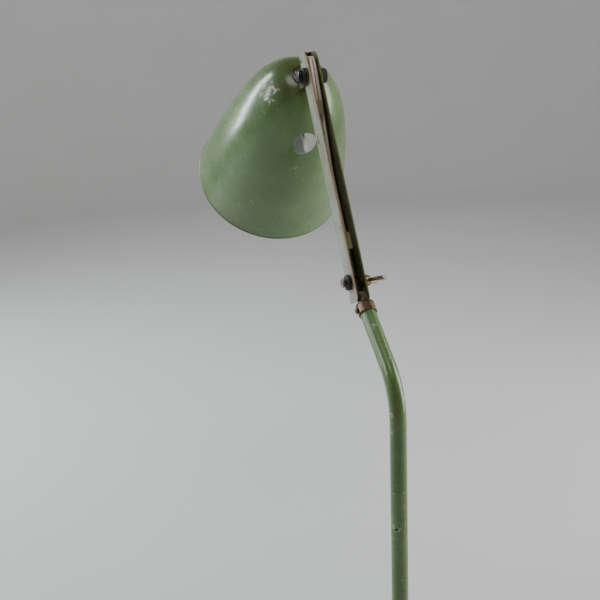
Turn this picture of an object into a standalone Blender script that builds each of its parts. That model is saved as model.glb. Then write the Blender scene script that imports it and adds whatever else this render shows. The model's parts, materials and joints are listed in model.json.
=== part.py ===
"""Swing arm desk lamp: weighted base, bent tube, channel arm and pear-shaped shade.

Metres, +Z up. The origin is the centre of the base's underside, and the lamp reaches towards +Y.
"""

import math

import bmesh
import bpy
from mathutils import Matrix, Vector

MM = 0.001

# Driving dimensions
GAP = 0.3 * MM
TUBE_R = 7.0 * MM
TUBE_WALL = 1.0 * MM
BEND_START_Z = 300.0 * MM
BEND_R = 53.0 * MM
BEND_ANGLE = math.radians(52.6)
TUBE_STRAIGHT = 63.5 * MM
KNUCKLE_REACH = 26.7 * MM

ARM_ANGLE = math.radians(31.8)
ARM_LENGTH = 206.1 * MM
CHANNEL_HALF_W = 5.75 * MM
CHANNEL_HALF_D = 10.8 * MM
SHEET = 1.0 * MM

HEAD_ANGLE = math.radians(128.4)
POLE_REACH = 22.9 * MM
POLE_OFFSET = -20.0 * MM
SHADE_R = 83.0 * MM
SHADE_LENGTH = 178.0 * MM
SHADE_POWER = 2.9
SHADE_WALL = 1.0 * MM
SHADE_NECK_R = 4.8 * MM

BASE_R = 100.0 * MM
WEIGHT_R = 94.0 * MM
WEIGHT_BOTTOM = 2.8 * MM
WEIGHT_TOP = 24.8 * MM
COVER_TOP = 34.0 * MM
SOCKET_TOP = 74.0 * MM
TUBE_FOOT_Z = 46.5 * MM

PIVOT_R = 2.5 * MM
PIVOT_HOLE_R = PIVOT_R + 0.35 * MM
CORE_R = 1.5 * MM
CORE_X = 1.75 * MM
FLEX_DEPTH = 7.7 * MM
ARM_FLEX_START = -3.0 * MM

HOLE_R = 12.3 * MM
HOLE_DISTANCE = 42.8 * MM
WING_ANGLE = math.radians(110.0)

RIVET_OFFSET = 13.5 * MM
RIVET_HOLE_R = 1.7 * MM

# Planes that a flat outline's (across, along) points lie in
SIDE_ON = Matrix(((0, 0, 1, 0), (1, 0, 0, 0), (0, 1, 0, 0), (0, 0, 0, 1)))
ALONG_BOLT = Matrix(((0, 1, 0, 0), (0, 0, 1, 0), (1, 0, 0, 0), (0, 0, 0, 1)))


# Scene helpers
def clear_scene():
    for obj in list(bpy.data.objects):
        bpy.data.objects.remove(obj)


def new_collection(name):
    collection = bpy.data.collections.new(name)
    bpy.context.scene.collection.children.link(collection)
    return collection


def material(name, colour, roughness, metallic=0.0):
    mat = bpy.data.materials.new(name)
    mat.use_nodes = True
    shader = mat.node_tree.nodes["Principled BSDF"]
    shader.inputs["Base Color"].default_value = (*colour, 1.0)
    shader.inputs["Roughness"].default_value = roughness
    shader.inputs["Metallic"].default_value = metallic
    return mat


def tilt(angle, origin):
    """A frame whose local Z leans from vertical towards +Y by the angle."""
    return Matrix.Translation(origin) @ Matrix.Rotation(-angle, 4, "X")


def empty(name, parent=None, matrix=Matrix.Identity(4)):
    obj = bpy.data.objects.new(name, None)
    PARTS.objects.link(obj)
    obj.parent = parent
    obj.matrix_world = matrix
    bpy.context.view_layer.update()
    return obj


def place(obj, parent, matrix, mat=None):
    """Parents the object and sets its place in world space."""
    obj.parent = parent
    obj.matrix_parent_inverse = parent.matrix_world.inverted() if parent else Matrix.Identity(4)
    obj.matrix_world = matrix
    if mat:
        obj.data.materials.append(mat)
    return obj


def mesh_object(name, mesh, collection):
    obj = bpy.data.objects.new(name, mesh)
    collection.objects.link(obj)
    return obj


def smooth(obj, degrees=35):
    mesh = obj.data
    mesh.shade_smooth()
    mesh.set_sharp_from_angle(angle=math.radians(degrees))


# Shape helpers
def lathe(name, profile, matrix, parent, mat, steps=20, closed=True):
    """Turns a profile of (radius, height) points, outer side first and downwards."""
    mesh = bpy.data.meshes.new(name)
    shape = bmesh.new()
    points = [shape.verts.new((radius, 0.0, height)) for radius, height in profile]
    for start, end in zip(points, points[1:]):
        shape.edges.new((start, end))
    if closed:
        shape.edges.new((points[-1], points[0]))
    shape.to_mesh(mesh)
    shape.free()
    obj = mesh_object(name, mesh, PARTS)
    place(obj, parent, matrix, mat)
    turn = obj.modifiers.new("turn", "SCREW")
    turn.steps = steps
    turn.render_steps = steps
    turn.use_merge_vertices = True
    turn.merge_threshold = 0.00001
    turn.use_smooth_shade = True
    return obj


def disc(name, radius, bottom, top, matrix, parent, mat, steps=20):
    profile = [(0.0, top), (radius, top), (radius, bottom), (0.0, bottom)]
    return lathe(name, profile, matrix, parent, mat, steps, closed=False)


def ring(name, outer, inner, bottom, top, matrix, parent, mat, steps=20):
    profile = [(outer, top), (outer, bottom), (inner, bottom), (inner, top)]
    return lathe(name, profile, matrix, parent, mat, steps)


def block(name, size, centre, matrix, collection):
    """A box of the given size about a centre in the matrix's frame."""
    mesh = bpy.data.meshes.new(name)
    shape = bmesh.new()
    bmesh.ops.create_cube(shape, size=1.0)
    bmesh.ops.scale(shape, vec=size, verts=shape.verts)
    bmesh.ops.translate(shape, vec=centre, verts=shape.verts)
    shape.to_mesh(mesh)
    shape.free()
    obj = mesh_object(name, mesh, collection)
    obj.matrix_world = matrix
    return obj


def rod(name, radius, start, end, matrix, collection, segments=16):
    """A cylinder between two points of the matrix's frame."""
    start = Vector(start)
    end = Vector(end)
    along = end - start
    turn = along.to_track_quat("Z", "Y").to_matrix().to_4x4()
    mesh = bpy.data.meshes.new(name)
    shape = bmesh.new()
    bmesh.ops.create_cone(
        shape,
        cap_ends=True,
        segments=segments,
        radius1=radius,
        radius2=radius,
        depth=along.length,
        matrix=Matrix.Translation((start + end) / 2) @ turn,
    )
    shape.to_mesh(mesh)
    shape.free()
    obj = mesh_object(name, mesh, collection)
    obj.matrix_world = matrix
    return obj


def outline(name, points, half_thickness, matrix, collection, turned=SIDE_ON):
    """A flat outline, extruded to both sides. By default it lies in the frame's YZ plane."""
    curve = bpy.data.curves.new(name, "CURVE")
    curve.dimensions = "2D"
    curve.fill_mode = "BOTH"
    curve.extrude = half_thickness
    spline = curve.splines.new("POLY")
    spline.points.add(len(points) - 1)
    for point, (across, along) in zip(spline.points, points):
        point.co = (across, along, 0.0, 1.0)
    spline.use_cyclic_u = True
    return curve_to_mesh(name, curve, matrix @ turned, collection)


def wire(name, points, radius, matrix, collection, resolution=2, caps=True):
    """A round bar or lead through the points, as a curve."""
    curve = bpy.data.curves.new(name, "CURVE")
    curve.dimensions = "3D"
    curve.bevel_depth = radius
    curve.bevel_resolution = resolution
    curve.use_fill_caps = caps
    spline = curve.splines.new("POLY")
    spline.points.add(len(points) - 1)
    for point, co in zip(spline.points, points):
        point.co = (*co, 1.0)
    obj = mesh_object(name, curve, collection)
    obj.matrix_world = matrix
    return obj


def curve_to_mesh(name, curve, matrix, collection):
    source = mesh_object(name + "_outline", curve, collection)
    source.matrix_world = matrix
    bpy.context.view_layer.update()
    evaluated = source.evaluated_get(bpy.context.evaluated_depsgraph_get())
    mesh = bpy.data.meshes.new_from_object(evaluated)
    shape = bmesh.new()
    shape.from_mesh(mesh)
    bmesh.ops.remove_doubles(shape, verts=shape.verts, dist=0.00001)
    bmesh.ops.recalc_face_normals(shape, faces=shape.faces)
    shape.to_mesh(mesh)
    shape.free()
    mesh.name = name
    obj = mesh_object(name, mesh, collection)
    obj.matrix_world = source.matrix_world
    bpy.data.objects.remove(source)
    return obj


def combine(obj, operation, tools):
    """Adds an exact Boolean to the object for each tool, and hides the tools."""
    for tool in tools:
        tool.hide_render = True
        tool.display_type = "WIRE"
        step = obj.modifiers.new(tool.name, "BOOLEAN")
        step.operation = operation
        step.solver = "EXACT"
        step.object = tool


def hex_nut(name, outer, hole_r, bottom, top, matrix, parent, mat):
    nut = disc(name, outer, bottom, top, matrix, parent, mat, 6)
    nut.modifiers["turn"].use_smooth_shade = False
    bore = rod(name + "_bore", hole_r, (0, 0, bottom - MM), (0, 0, top + MM), matrix, CUTTERS)
    combine(nut, "DIFFERENCE", [bore])
    return nut


def arc(centre, radius, start, end, count):
    """Points of an arc in a plane, with angles in degrees."""
    points = []
    for index in range(count + 1):
        angle = math.radians(start + (end - start) * index / count)
        points.append((centre[0] + radius * math.cos(angle), centre[1] + radius * math.sin(angle)))
    return points


# Joint frames
def joint_frames():
    """World frames of the stem, knuckle, arm and head, each with Z along the piece."""
    bend_y = BEND_R * (1 - math.cos(BEND_ANGLE)) + TUBE_STRAIGHT * math.sin(BEND_ANGLE)
    bend_z = BEND_START_Z + BEND_R * math.sin(BEND_ANGLE) + TUBE_STRAIGHT * math.cos(BEND_ANGLE)
    tube_end = tilt(BEND_ANGLE, (0.0, bend_y, bend_z))
    lower = tilt(ARM_ANGLE, tube_end @ Vector((0.0, 0.0, KNUCKLE_REACH)))
    upper = tilt(HEAD_ANGLE, lower @ Vector((0.0, 0.0, ARM_LENGTH)))
    return tube_end, lower, upper


# Base
def dome_height(radius):
    """Outer height of the base cover at a radius."""
    flat_r = 22.0 * MM
    edge_z = 27.8 * MM
    if radius <= flat_r:
        return COVER_TOP
    share = (radius - flat_r) / (BASE_R - 4.0 * MM - flat_r)
    return edge_z + (COVER_TOP - edge_z) * math.cos(share * math.pi / 2)


def build_base():
    home = Matrix.Identity(4)
    thread_r = 6.0 * MM
    clearance_r = thread_r + GAP
    disc("base_pad", WEIGHT_R + 2.0 * MM, 0.0, WEIGHT_BOTTOM - GAP, home, BASE, FELT, 32)

    nut_z = 10.4 * MM
    recess_z = 16.0 * MM
    chamfer = 2.5 * MM
    profile = [(WEIGHT_R - chamfer, WEIGHT_TOP), (WEIGHT_R, WEIGHT_TOP - chamfer)]
    profile += [(WEIGHT_R, WEIGHT_BOTTOM), (24.0 * MM, WEIGHT_BOTTOM), (24.0 * MM, recess_z)]
    profile += [(clearance_r, recess_z), (clearance_r, WEIGHT_TOP)]
    weight = lathe("base_weight", profile, home, BASE, CAST_IRON, 32)
    channel_z = 11.0 * MM
    slot_size = (8.0 * MM, 80.0 * MM, channel_z)
    slot = block("lead_slot", slot_size, (0.0, -60.0 * MM, channel_z / 2), home, CUTTERS)
    combine(weight, "DIFFERENCE", [slot])

    wall = 1.2 * MM
    skirt_z = 1.0 * MM
    radii = [clearance_r, 22.0 * MM] + [(22.0 + 74.0 * step / 4) * MM for step in range(1, 5)]
    outer = [(radius, dome_height(radius)) for radius in radii]
    corner = (BASE_R - 4.0 * MM, outer[-1][1] - 4.0 * MM)
    outer += arc(corner, 4.0 * MM, 60.0, 0.0, 2)
    inner = [(radius - (wall if radius > clearance_r else 0.0), height - wall) for radius, height in outer]
    profile = outer + [(BASE_R, skirt_z), (BASE_R - wall, skirt_z)] + inner[:0:-1]
    profile += [(clearance_r, COVER_TOP - wall)]
    cover = lathe("base_cover", profile, home, BASE, GREEN, 32)
    gland_z = 12.0 * MM
    outside = (0, -1.1 * BASE_R, gland_z)
    gland_hole = rod("gland_hole", 5.0 * MM, outside, (0, -0.9 * BASE_R, gland_z), home, CUTTERS)
    combine(cover, "DIFFERENCE", [gland_hole])

    back = Matrix.Translation((0.0, 0.0, gland_z)) @ Matrix.Rotation(math.radians(90), 4, "X")
    inside = BASE_R - 4.6 * MM
    shoulder = BASE_R - wall - 0.9 * MM
    profile = [(5.2 * MM, BASE_R + 7.0 * MM), (6.6 * MM, BASE_R + 5.5 * MM), (7.0 * MM, BASE_R + GAP)]
    profile += [(4.6 * MM, BASE_R + GAP), (4.6 * MM, shoulder), (6.4 * MM, shoulder)]
    profile += [(6.4 * MM, inside), (3.4 * MM, inside), (3.4 * MM, BASE_R + 7.0 * MM)]
    lathe("cable_gland", profile, back, BASE, RUBBER, 24)

    ring("base_stud", thread_r, 3.9 * MM, nut_z - 1.0 * MM, TUBE_FOOT_Z - 1.5 * MM, home, BASE, STEEL, 24)
    hex_nut("base_nut", 10.4 * MM, clearance_r, nut_z, recess_z - 1.5 * MM, home, BASE, STEEL)
    ring("base_washer", 14.0 * MM, clearance_r, recess_z - 1.2 * MM, recess_z - GAP, home, BASE, STEEL, 24)

    foot_z = COVER_TOP + GAP
    bore_r = TUBE_R + GAP
    profile = [(bore_r + 2.6 * MM, SOCKET_TOP), (bore_r + 3.6 * MM, SOCKET_TOP - 1.0 * MM)]
    profile += [(bore_r + 3.6 * MM, foot_z + 9.0 * MM), (13.0 * MM, foot_z + 5.5 * MM)]
    profile += [(19.0 * MM, foot_z + 3.4 * MM), (20.0 * MM, foot_z + 2.2 * MM), (20.0 * MM, foot_z)]
    profile += [(clearance_r, foot_z), (clearance_r, TUBE_FOOT_Z - GAP), (bore_r, TUBE_FOOT_Z - GAP)]
    profile += [(bore_r, SOCKET_TOP)]
    socket = lathe("tube_socket", profile, home, BASE, STEEL, 24)
    screw_z = SOCKET_TOP - 10.0 * MM
    start = (0, -6.0 * MM, screw_z)
    screw_hole = rod("socket_screw_hole", 2.3 * MM, start, (0, -20.0 * MM, screw_z), home, CUTTERS)
    combine(socket, "DIFFERENCE", [screw_hole])

    outwards = Matrix.Translation((0.0, 0.0, screw_z)) @ Matrix.Rotation(math.radians(90), 4, "X")
    screw_frame = empty("thumb_screw_axis", BASE, outwards)
    head_z = bore_r + 6.0 * MM
    profile = [(0.0, head_z + 7.0 * MM), (5.2 * MM, head_z + 7.0 * MM), (6.2 * MM, head_z + 6.0 * MM)]
    profile += [(6.2 * MM, head_z + 1.0 * MM), (5.2 * MM, head_z), (2.0 * MM, head_z)]
    profile += [(2.0 * MM, TUBE_R + GAP), (0.0, TUBE_R + GAP)]
    lathe("socket_thumb_screw", profile, outwards, screw_frame, STEEL, 24, closed=False)


# Stem
def tube_route(stop_short):
    """Centre line of the bent tube from its foot to just short of its end."""
    points = [(0.0, 0.0, TUBE_FOOT_Z), (0.0, 0.0, BEND_START_Z)]
    bend_steps = 8
    for step in range(1, bend_steps + 1):
        angle = BEND_ANGLE * step / bend_steps
        points.append((0.0, BEND_R * (1 - math.cos(angle)), BEND_START_Z + BEND_R * math.sin(angle)))
    points.append(TUBE_END @ Vector((0.0, 0.0, -stop_short)))
    return points


def build_stem():
    tube_top = 1.5 * MM
    pipe = wire("pipe", tube_route(tube_top), TUBE_R, Matrix.Identity(4), PARTS, 6, caps=False)
    tube = curve_to_mesh("lower_tube", pipe.data, Matrix.Identity(4), PARTS)
    bpy.data.objects.remove(pipe)
    place(tube, STEM, Matrix.Identity(4), GREEN)
    wall = tube.modifiers.new("wall", "SOLIDIFY")
    wall.thickness = TUBE_WALL
    wall.offset = -1.0
    smooth(tube, 60)

    collar_low = -9.5 * MM
    collar_r = TUBE_R + GAP
    collar_high = -0.5 * MM
    outer_r = collar_r + SHEET
    collar = ring("tube_collar", outer_r, collar_r, collar_low, collar_high, TUBE_END, STEM, BROWN_STEEL, 24)
    screw_z = -5.0 * MM
    start = (-6.0 * MM, 0, screw_z)
    hole = rod("collar_screw_hole", 1.7 * MM, start, (-12.0 * MM, 0, screw_z), TUBE_END, CUTTERS)
    combine(collar, "DIFFERENCE", [hole])
    left = TUBE_END @ Matrix.Translation((0, 0, screw_z)) @ Matrix.Rotation(math.radians(-90), 4, "Y")
    tip = TUBE_R + GAP
    head = outer_r + GAP
    profile = [(0.0, head + 1.4 * MM), (2.2 * MM, head + 1.4 * MM), (2.6 * MM, head + 1.0 * MM)]
    profile += [(2.6 * MM, head), (1.35 * MM, head), (1.35 * MM, tip), (0.0, tip)]
    lathe("collar_screw", profile, left, STEM, BROWN_STEEL, 16, closed=False)


def build_knuckle():
    plug_r = TUBE_R - TUBE_WALL - GAP
    flange_r = TUBE_R + GAP + SHEET
    profile = [(0.0, 1.0 * MM), (flange_r - 0.4 * MM, 1.0 * MM), (flange_r, 0.6 * MM)]
    profile += [(flange_r, 0.0), (plug_r, 0.0), (plug_r, -16.0 * MM), (0.0, -16.0 * MM)]
    body = lathe("knuckle", profile, TUBE_END, KNUCKLE, BROWN_STEEL, 24, closed=False)

    tongue_half = 2.45 * MM
    eye_r = 4.9 * MM
    shape = [(-3.2 * MM, 0.5 * MM), (-3.2 * MM, KNUCKLE_REACH - 8.0 * MM)]
    shape += arc((0.0, KNUCKLE_REACH), eye_r, 190, -10, 14)
    shape += [(1.6 * MM, KNUCKLE_REACH - 8.0 * MM), (1.6 * MM, 0.5 * MM)]
    tongue = outline("knuckle_tongue", shape, tongue_half, TUBE_END, CUTTERS)
    boss_low = 0.5 * MM
    boss_arc = arc((8.6 * MM, 0.0), tongue_half - 0.05 * MM, -90, 90, 8)
    shape = [(boss_low, boss_arc[0][1])] + boss_arc + [(boss_low, boss_arc[-1][1])]
    boss_at = TUBE_END @ Matrix.Translation((0.0, -4.4 * MM, 0.0))
    boss = outline("knuckle_boss", shape, 1.6 * MM, boss_at, CUTTERS, ALONG_BOLT)
    combine(body, "UNION", [tongue, boss])

    slot_y = 2.1 * MM
    slot_size = (7.0 * MM, 10.0 * MM, 40.0 * MM)
    slot = block("flex_slot", slot_size, (0, slot_y + 5.0 * MM, -5.0 * MM), TUBE_END, CUTTERS)
    left = (-9 * MM, 0, KNUCKLE_REACH)
    eye = rod("eye_hole", PIVOT_HOLE_R, left, (9 * MM, 0, KNUCKLE_REACH), TUBE_END, CUTTERS)
    combine(body, "DIFFERENCE", [slot, eye])


# Arm
def channel_outline():
    """Side view of the channel's flanges: across is towards the web, along is up the arm."""
    depth = CHANNEL_HALF_D
    foot = 4.0 * MM
    shape = arc((foot - depth, -16.0 * MM), foot, 180, 270, 4)
    shape += arc((depth - foot, -13.5 * MM), foot, 270, 360, 4)
    tip = 3.0 * MM
    tip_z = ARM_LENGTH + 26.0 * MM
    shape += arc((depth - tip, tip_z), tip, 0, 90, 4)
    nose_z = ARM_LENGTH + 10.7 * MM
    nose_rise = tip_z + tip - nose_z
    nose_run = 2 * depth - tip
    for step in range(1, 9):
        angle = math.radians(90 + 90 * step / 8)
        across = depth - tip + nose_run * math.cos(angle)
        shape.append((across, nose_z + nose_rise * math.sin(angle)))
    return shape


def nose_cap():
    """Side view of the sheet that closes the nose over the flex, from the web round to the top."""
    tip = 3.0 * MM
    centre = Vector((CHANNEL_HALF_D - tip, ARM_LENGTH + 26.0 * MM))
    knee = centre + Vector((-2.4 * MM, 2.85 * MM))
    lip = centre + Vector((-4.6 * MM, 2.5 * MM))
    down = Vector((0.1 * MM, -SHEET))
    outside = arc(tuple(centre), tip, 5, 90, 5) + [tuple(knee), tuple(lip)]
    return outside + [tuple(lip + down), tuple(knee + down)] + arc(tuple(centre), tip - SHEET, 90, 5, 5)


def build_channel():
    channel = outline("arm_channel", channel_outline(), CHANNEL_HALF_W, LOWER, PARTS)
    place(channel, ARM, channel.matrix_world.copy(), GREEN)

    half_gap = CHANNEL_HALF_W - SHEET
    depth = CHANNEL_HALF_D
    tall = 2 * ARM_LENGTH
    cavity_y = -depth - 5.0 * MM
    cavity_size = (2 * half_gap, 2 * depth - SHEET + 5.0 * MM, tall)
    cavity_centre = (0.0, (cavity_y + depth - SHEET) / 2, ARM_LENGTH / 2)
    cavity = block("channel_cavity", cavity_size, cavity_centre, LOWER, CUTTERS)
    web_low = 8.0 * MM
    web_high = ARM_LENGTH + 9.0 * MM
    notch_size = (2 * half_gap, 10.0 * MM, 60.0 * MM)
    low_notch = block("web_low_notch", notch_size, (0, depth, web_low - 30.0 * MM), LOWER, CUTTERS)
    high_notch = block("web_high_notch", notch_size, (0, depth, web_high + 30.0 * MM), LOWER, CUTTERS)
    side = 2 * CHANNEL_HALF_W
    places = (
        ("lower_pivot_hole", PIVOT_HOLE_R, (0.0, 0.0)),
        ("upper_pivot_hole", PIVOT_HOLE_R, (0.0, ARM_LENGTH)),
        ("tie_hole", 1.7 * MM, (6.6 * MM, ARM_LENGTH + 20.0 * MM)),
    )
    holes = [rod(name, r, (-side, *spot), (side, *spot), LOWER, CUTTERS) for name, r, spot in places]
    combine(channel, "DIFFERENCE", [cavity, low_notch, high_notch] + holes)

    tongues = []
    tongue_span = 6.8 * MM
    recess = 3.5 * MM
    inset = 0.05 * MM
    spans = (("low", 28.5 * MM, 44.5 * MM), ("high", ARM_LENGTH - 44.6 * MM, ARM_LENGTH - 29.6 * MM))
    for name, low, high in spans:
        size = (tongue_span, SHEET, high - low)
        centre_x = inset - CHANNEL_HALF_W + tongue_span / 2
        centre = (centre_x, recess - depth + SHEET / 2, (low + high) / 2)
        tongues.append(block(name + "_tongue", size, centre, LOWER, CUTTERS))
    cap = outline("nose_cap", nose_cap(), CHANNEL_HALF_W - 0.05 * MM, LOWER, CUTTERS)
    combine(channel, "UNION", tongues + [cap])


def washer(name, outer, start, end, frame, parent, mat, steps=20):
    """A washer on a pivot, between two distances along +X."""
    across = frame @ Matrix.Rotation(math.radians(90), 4, "Y")
    low, high = sorted((start, end))
    return ring(name, outer, PIVOT_HOLE_R, low, high, across, parent, mat, steps)


def build_lower_joint():
    across = LOWER @ Matrix.Rotation(math.radians(90), 4, "Y")
    head = -13.4 * MM
    profile = [(0.0, 12.8 * MM), (PIVOT_R - 0.5 * MM, 12.8 * MM), (PIVOT_R, 12.3 * MM)]
    profile += [(PIVOT_R, head + 1.4 * MM), (4.2 * MM, head + 1.4 * MM), (4.4 * MM, head + 1.0 * MM)]
    profile += [(4.4 * MM, head + 0.4 * MM), (3.9 * MM, head), (0.0, head)]
    lathe("lower_pivot_bolt", profile, across, ARM, BROWN_STEEL, 20, closed=False)
    outside = CHANNEL_HALF_W + GAP
    washer("lower_black_washer", 6.8 * MM, -outside, -outside - 3.4 * MM, LOWER, ARM, BLACK)
    washer("lower_steel_washer", 6.2 * MM, outside, outside + 0.9 * MM, LOWER, ARM, BROWN_STEEL)
    inside = CHANNEL_HALF_W - SHEET - GAP
    washer("friction_washer_left", 5.2 * MM, -inside, -inside + 1.7 * MM, LOWER, ARM, FIBRE)
    washer("friction_washer_right", 5.2 * MM, inside, inside - 1.7 * MM, LOWER, ARM, FIBRE)


def build_wing_nut():
    """Conical hub on the bolt's right end, with two wings that flare away from the arm."""
    frame = tilt(WING_ANGLE, LOWER.translation)
    across = frame @ Matrix.Rotation(math.radians(90), 4, "Y")
    base_x = CHANNEL_HALF_W + 1.5 * MM
    top_x = base_x + 5.8 * MM
    profile = [(4.0 * MM, top_x), (4.4 * MM, top_x - 0.5 * MM), (5.8 * MM, base_x + 1.0 * MM)]
    profile += [(5.8 * MM, base_x), (PIVOT_HOLE_R, base_x), (PIVOT_HOLE_R, top_x)]
    hub = lathe("wing_nut", profile, across, WING, BRASS, 24)
    wings = []
    wing_half = 1.6 * MM
    for name, sign in (("near", -1.0), ("far", 1.0)):
        root = [(3.3 * MM, base_x + 1.6 * MM), (3.3 * MM, top_x - 0.6 * MM)]
        ear = arc((10.0 * MM, base_x + 11.2 * MM), 5.4 * MM, 140, -50, 9)
        shape = [(sign * out, along) for out, along in root + ear]
        wings.append(outline(name + "_wing", shape, wing_half, frame, CUTTERS, ALONG_BOLT))
    combine(hub, "UNION", wings)


# Flex
def rounded_route(corners, radius, steps=5):
    """Joins (across, along) corner points by straight runs with round bends."""
    points = [Vector(corners[0])]
    for before, corner, after in zip(corners, corners[1:], corners[2:]):
        corner = Vector(corner)
        entry = corner + (Vector(before) - corner).normalized() * radius
        leave = corner + (Vector(after) - corner).normalized() * radius
        for step in range(steps + 1):
            share = step / steps
            start = entry.lerp(corner, share)
            end = corner.lerp(leave, share)
            points.append(start.lerp(end, share))
    points.append(Vector(corners[-1]))
    return points


def build_flex():
    """Twin flex in four stretches, one for each moving body, as two cores side by side."""
    plug_y = 3.9 * MM
    knuckle_start = (plug_y, -15.5 * MM)
    arm_start = (FLEX_DEPTH, ARM_FLEX_START)
    meeting = TUBE_END.inverted() @ LOWER @ Vector((0.0, *arm_start))
    knuckle_end = (meeting.y, meeting.z - 1.1 * MM)
    mouth = LOWER.inverted() @ UPPER @ Vector((0.0, POLE_OFFSET, 9.4 * MM))
    top_y = -7.7 * MM
    top_z = mouth.z - 0.6 * MM
    arm_corners = [arm_start, (FLEX_DEPTH, 110.0 * MM), (-3.6 * MM, 179.0 * MM)]
    arm_corners += [(top_y, 210.0 * MM), (top_y, top_z), (mouth.y, mouth.z)]
    knuckle_corners = [knuckle_start, (plug_y, 3.0 * MM), knuckle_end]
    head_end = POLE_REACH + 13.0 * MM
    head_corners = [(POLE_OFFSET, 9.8 * MM), (POLE_OFFSET, head_end)]

    stem_points = tube_route(32.0 * MM) + [TUBE_END @ Vector((0.0, 3.6 * MM, -17.0 * MM))]
    for side, sign in (("left", -1.0), ("right", 1.0)):
        shift = Matrix.Translation((sign * CORE_X, 0.0, 0.0))
        stem = wire("stem_flex_" + side, stem_points, CORE_R, shift, PARTS)
        place(stem, STEM, shift, FLEX)
        stretches = (
            ("knuckle_flex_", knuckle_corners, 5.0 * MM, TUBE_END, KNUCKLE),
            ("arm_flex_", arm_corners, 8.0 * MM, LOWER, ARM),
            ("head_flex_", head_corners, 1.0 * MM, UPPER, HEAD),
        )
        for name, corners, radius, frame, body in stretches:
            route = [(0.0, across, along) for across, along in rounded_route(corners, radius)]
            core = wire(name + side, route, CORE_R, frame @ shift, PARTS)
            place(core, body, frame @ shift, FLEX)


# Head
def shade_height(radius):
    """Distance of the shade's outer surface from its pole, along its axis."""
    return SHADE_LENGTH * (radius / SHADE_R) ** SHADE_POWER


def build_shade():
    frame = UPPER @ Matrix.Translation((0.0, POLE_OFFSET, POLE_REACH))
    rings = 9
    radii = [SHADE_NECK_R + (SHADE_R - SHADE_NECK_R) * step / rings for step in range(rings + 1)]
    outer = [(radius, shade_height(radius)) for radius in radii]
    inner = []
    for radius, height in outer:
        lean = math.atan2(1.0, SHADE_POWER * height / radius) if radius > SHADE_NECK_R else math.pi / 2
        inner.append((radius - SHADE_WALL * math.cos(lean), height + SHADE_WALL * math.sin(lean)))
    inner[0] = (SHADE_NECK_R, SHADE_WALL)
    bead = 1.0 * MM
    rim = arc((SHADE_R - 0.2 * MM, SHADE_LENGTH - 0.2 * MM), bead, 150, -90, 4)
    profile = rim + outer[-2::-1] + inner[:-1]
    shade = lathe("shade", profile, frame, HEAD, GREEN, 40)

    radius = SHADE_R * (HOLE_DISTANCE / SHADE_LENGTH) ** (1 / SHADE_POWER)
    slope = math.atan2(radius / (SHADE_POWER * HOLE_DISTANCE), 1.0)
    normal = Vector((0.0, math.cos(slope), -math.sin(slope)))
    centre = Vector((0.0, radius, HOLE_DISTANCE))
    reach = 15.0 * MM
    hole = rod("switch_hole", HOLE_R, centre - normal * reach, centre + normal * reach, frame, CUTTERS, 32)
    low = (0, RIVET_OFFSET, -5 * MM)
    high = (0, RIVET_OFFSET, 5 * MM)
    rivet_hole = rod("shade_rivet_hole", RIVET_HOLE_R, low, high, frame, CUTTERS)
    combine(shade, "DIFFERENCE", [hole, rivet_hole])


def build_yoke():
    """Two ears beside the channel's end, turned up from a plate on the shade's pole."""
    plate_low = POLE_REACH - 1.6 * MM
    plate_high = POLE_REACH - GAP
    ear_in = CHANNEL_HALF_W + GAP
    ear_out = ear_in + 1.4 * MM
    pad_r = 11.0 * MM
    low = (0, POLE_OFFSET, plate_low)
    high = (0, POLE_OFFSET, plate_high)
    pad = rod("head_yoke", pad_r, low, high, UPPER, PARTS, 32)
    place(pad, HEAD, UPPER, GREEN)
    run_size = (2 * ear_out, 15.5 * MM, plate_high - plate_low)
    run = block("yoke_run", run_size, (0, -10.25 * MM, (plate_low + plate_high) / 2), UPPER, CUTTERS)
    ear_r = 8.3 * MM
    ears = []
    shape = arc((0.0, 0.0), ear_r, 175, 385, 14)
    shape += [(-2.5 * MM, plate_high - 0.1 * MM), (-13.0 * MM, plate_high - 0.1 * MM)]
    for name, sign in (("left", -1.0), ("right", 1.0)):
        shift = UPPER @ Matrix.Translation((sign * (ear_in + 0.7 * MM), 0.0, 0.0))
        ears.append(outline(name + "_ear", shape, 0.7 * MM, shift, CUTTERS))
    combine(pad, "UNION", [run] + ears)
    pivot = rod("ear_holes", PIVOT_HOLE_R, (-12 * MM, 0, 0), (12 * MM, 0, 0), UPPER, CUTTERS)
    rivet_y = POLE_OFFSET + RIVET_OFFSET
    cuts = [pivot]
    for name, radius, y in (("neck", SHADE_NECK_R, POLE_OFFSET), ("rivet", RIVET_HOLE_R, rivet_y)):
        low = (0, y, 15 * MM)
        high = (0, y, 30 * MM)
        cuts.append(rod("yoke_" + name + "_hole", radius, low, high, UPPER, CUTTERS))
    combine(pad, "DIFFERENCE", cuts)

    frame = UPPER @ Matrix.Translation((0.0, rivet_y, 0.0))
    low = plate_low - GAP
    inside = POLE_REACH + shade_height(RIVET_OFFSET) + SHADE_WALL + 0.9 * MM
    shank = 1.3 * MM
    profile = [(0.0, inside + 1.0 * MM), (2 * shank, inside + 1.0 * MM), (2 * shank, inside)]
    profile += [(shank, inside), (shank, low), (3.0 * MM, low)]
    profile += [(2.4 * MM, low - 1.2 * MM), (0.0, low - 1.5 * MM)]
    lathe("yoke_rivet", profile, frame, HEAD, BROWN_STEEL, 16, closed=False)


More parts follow.
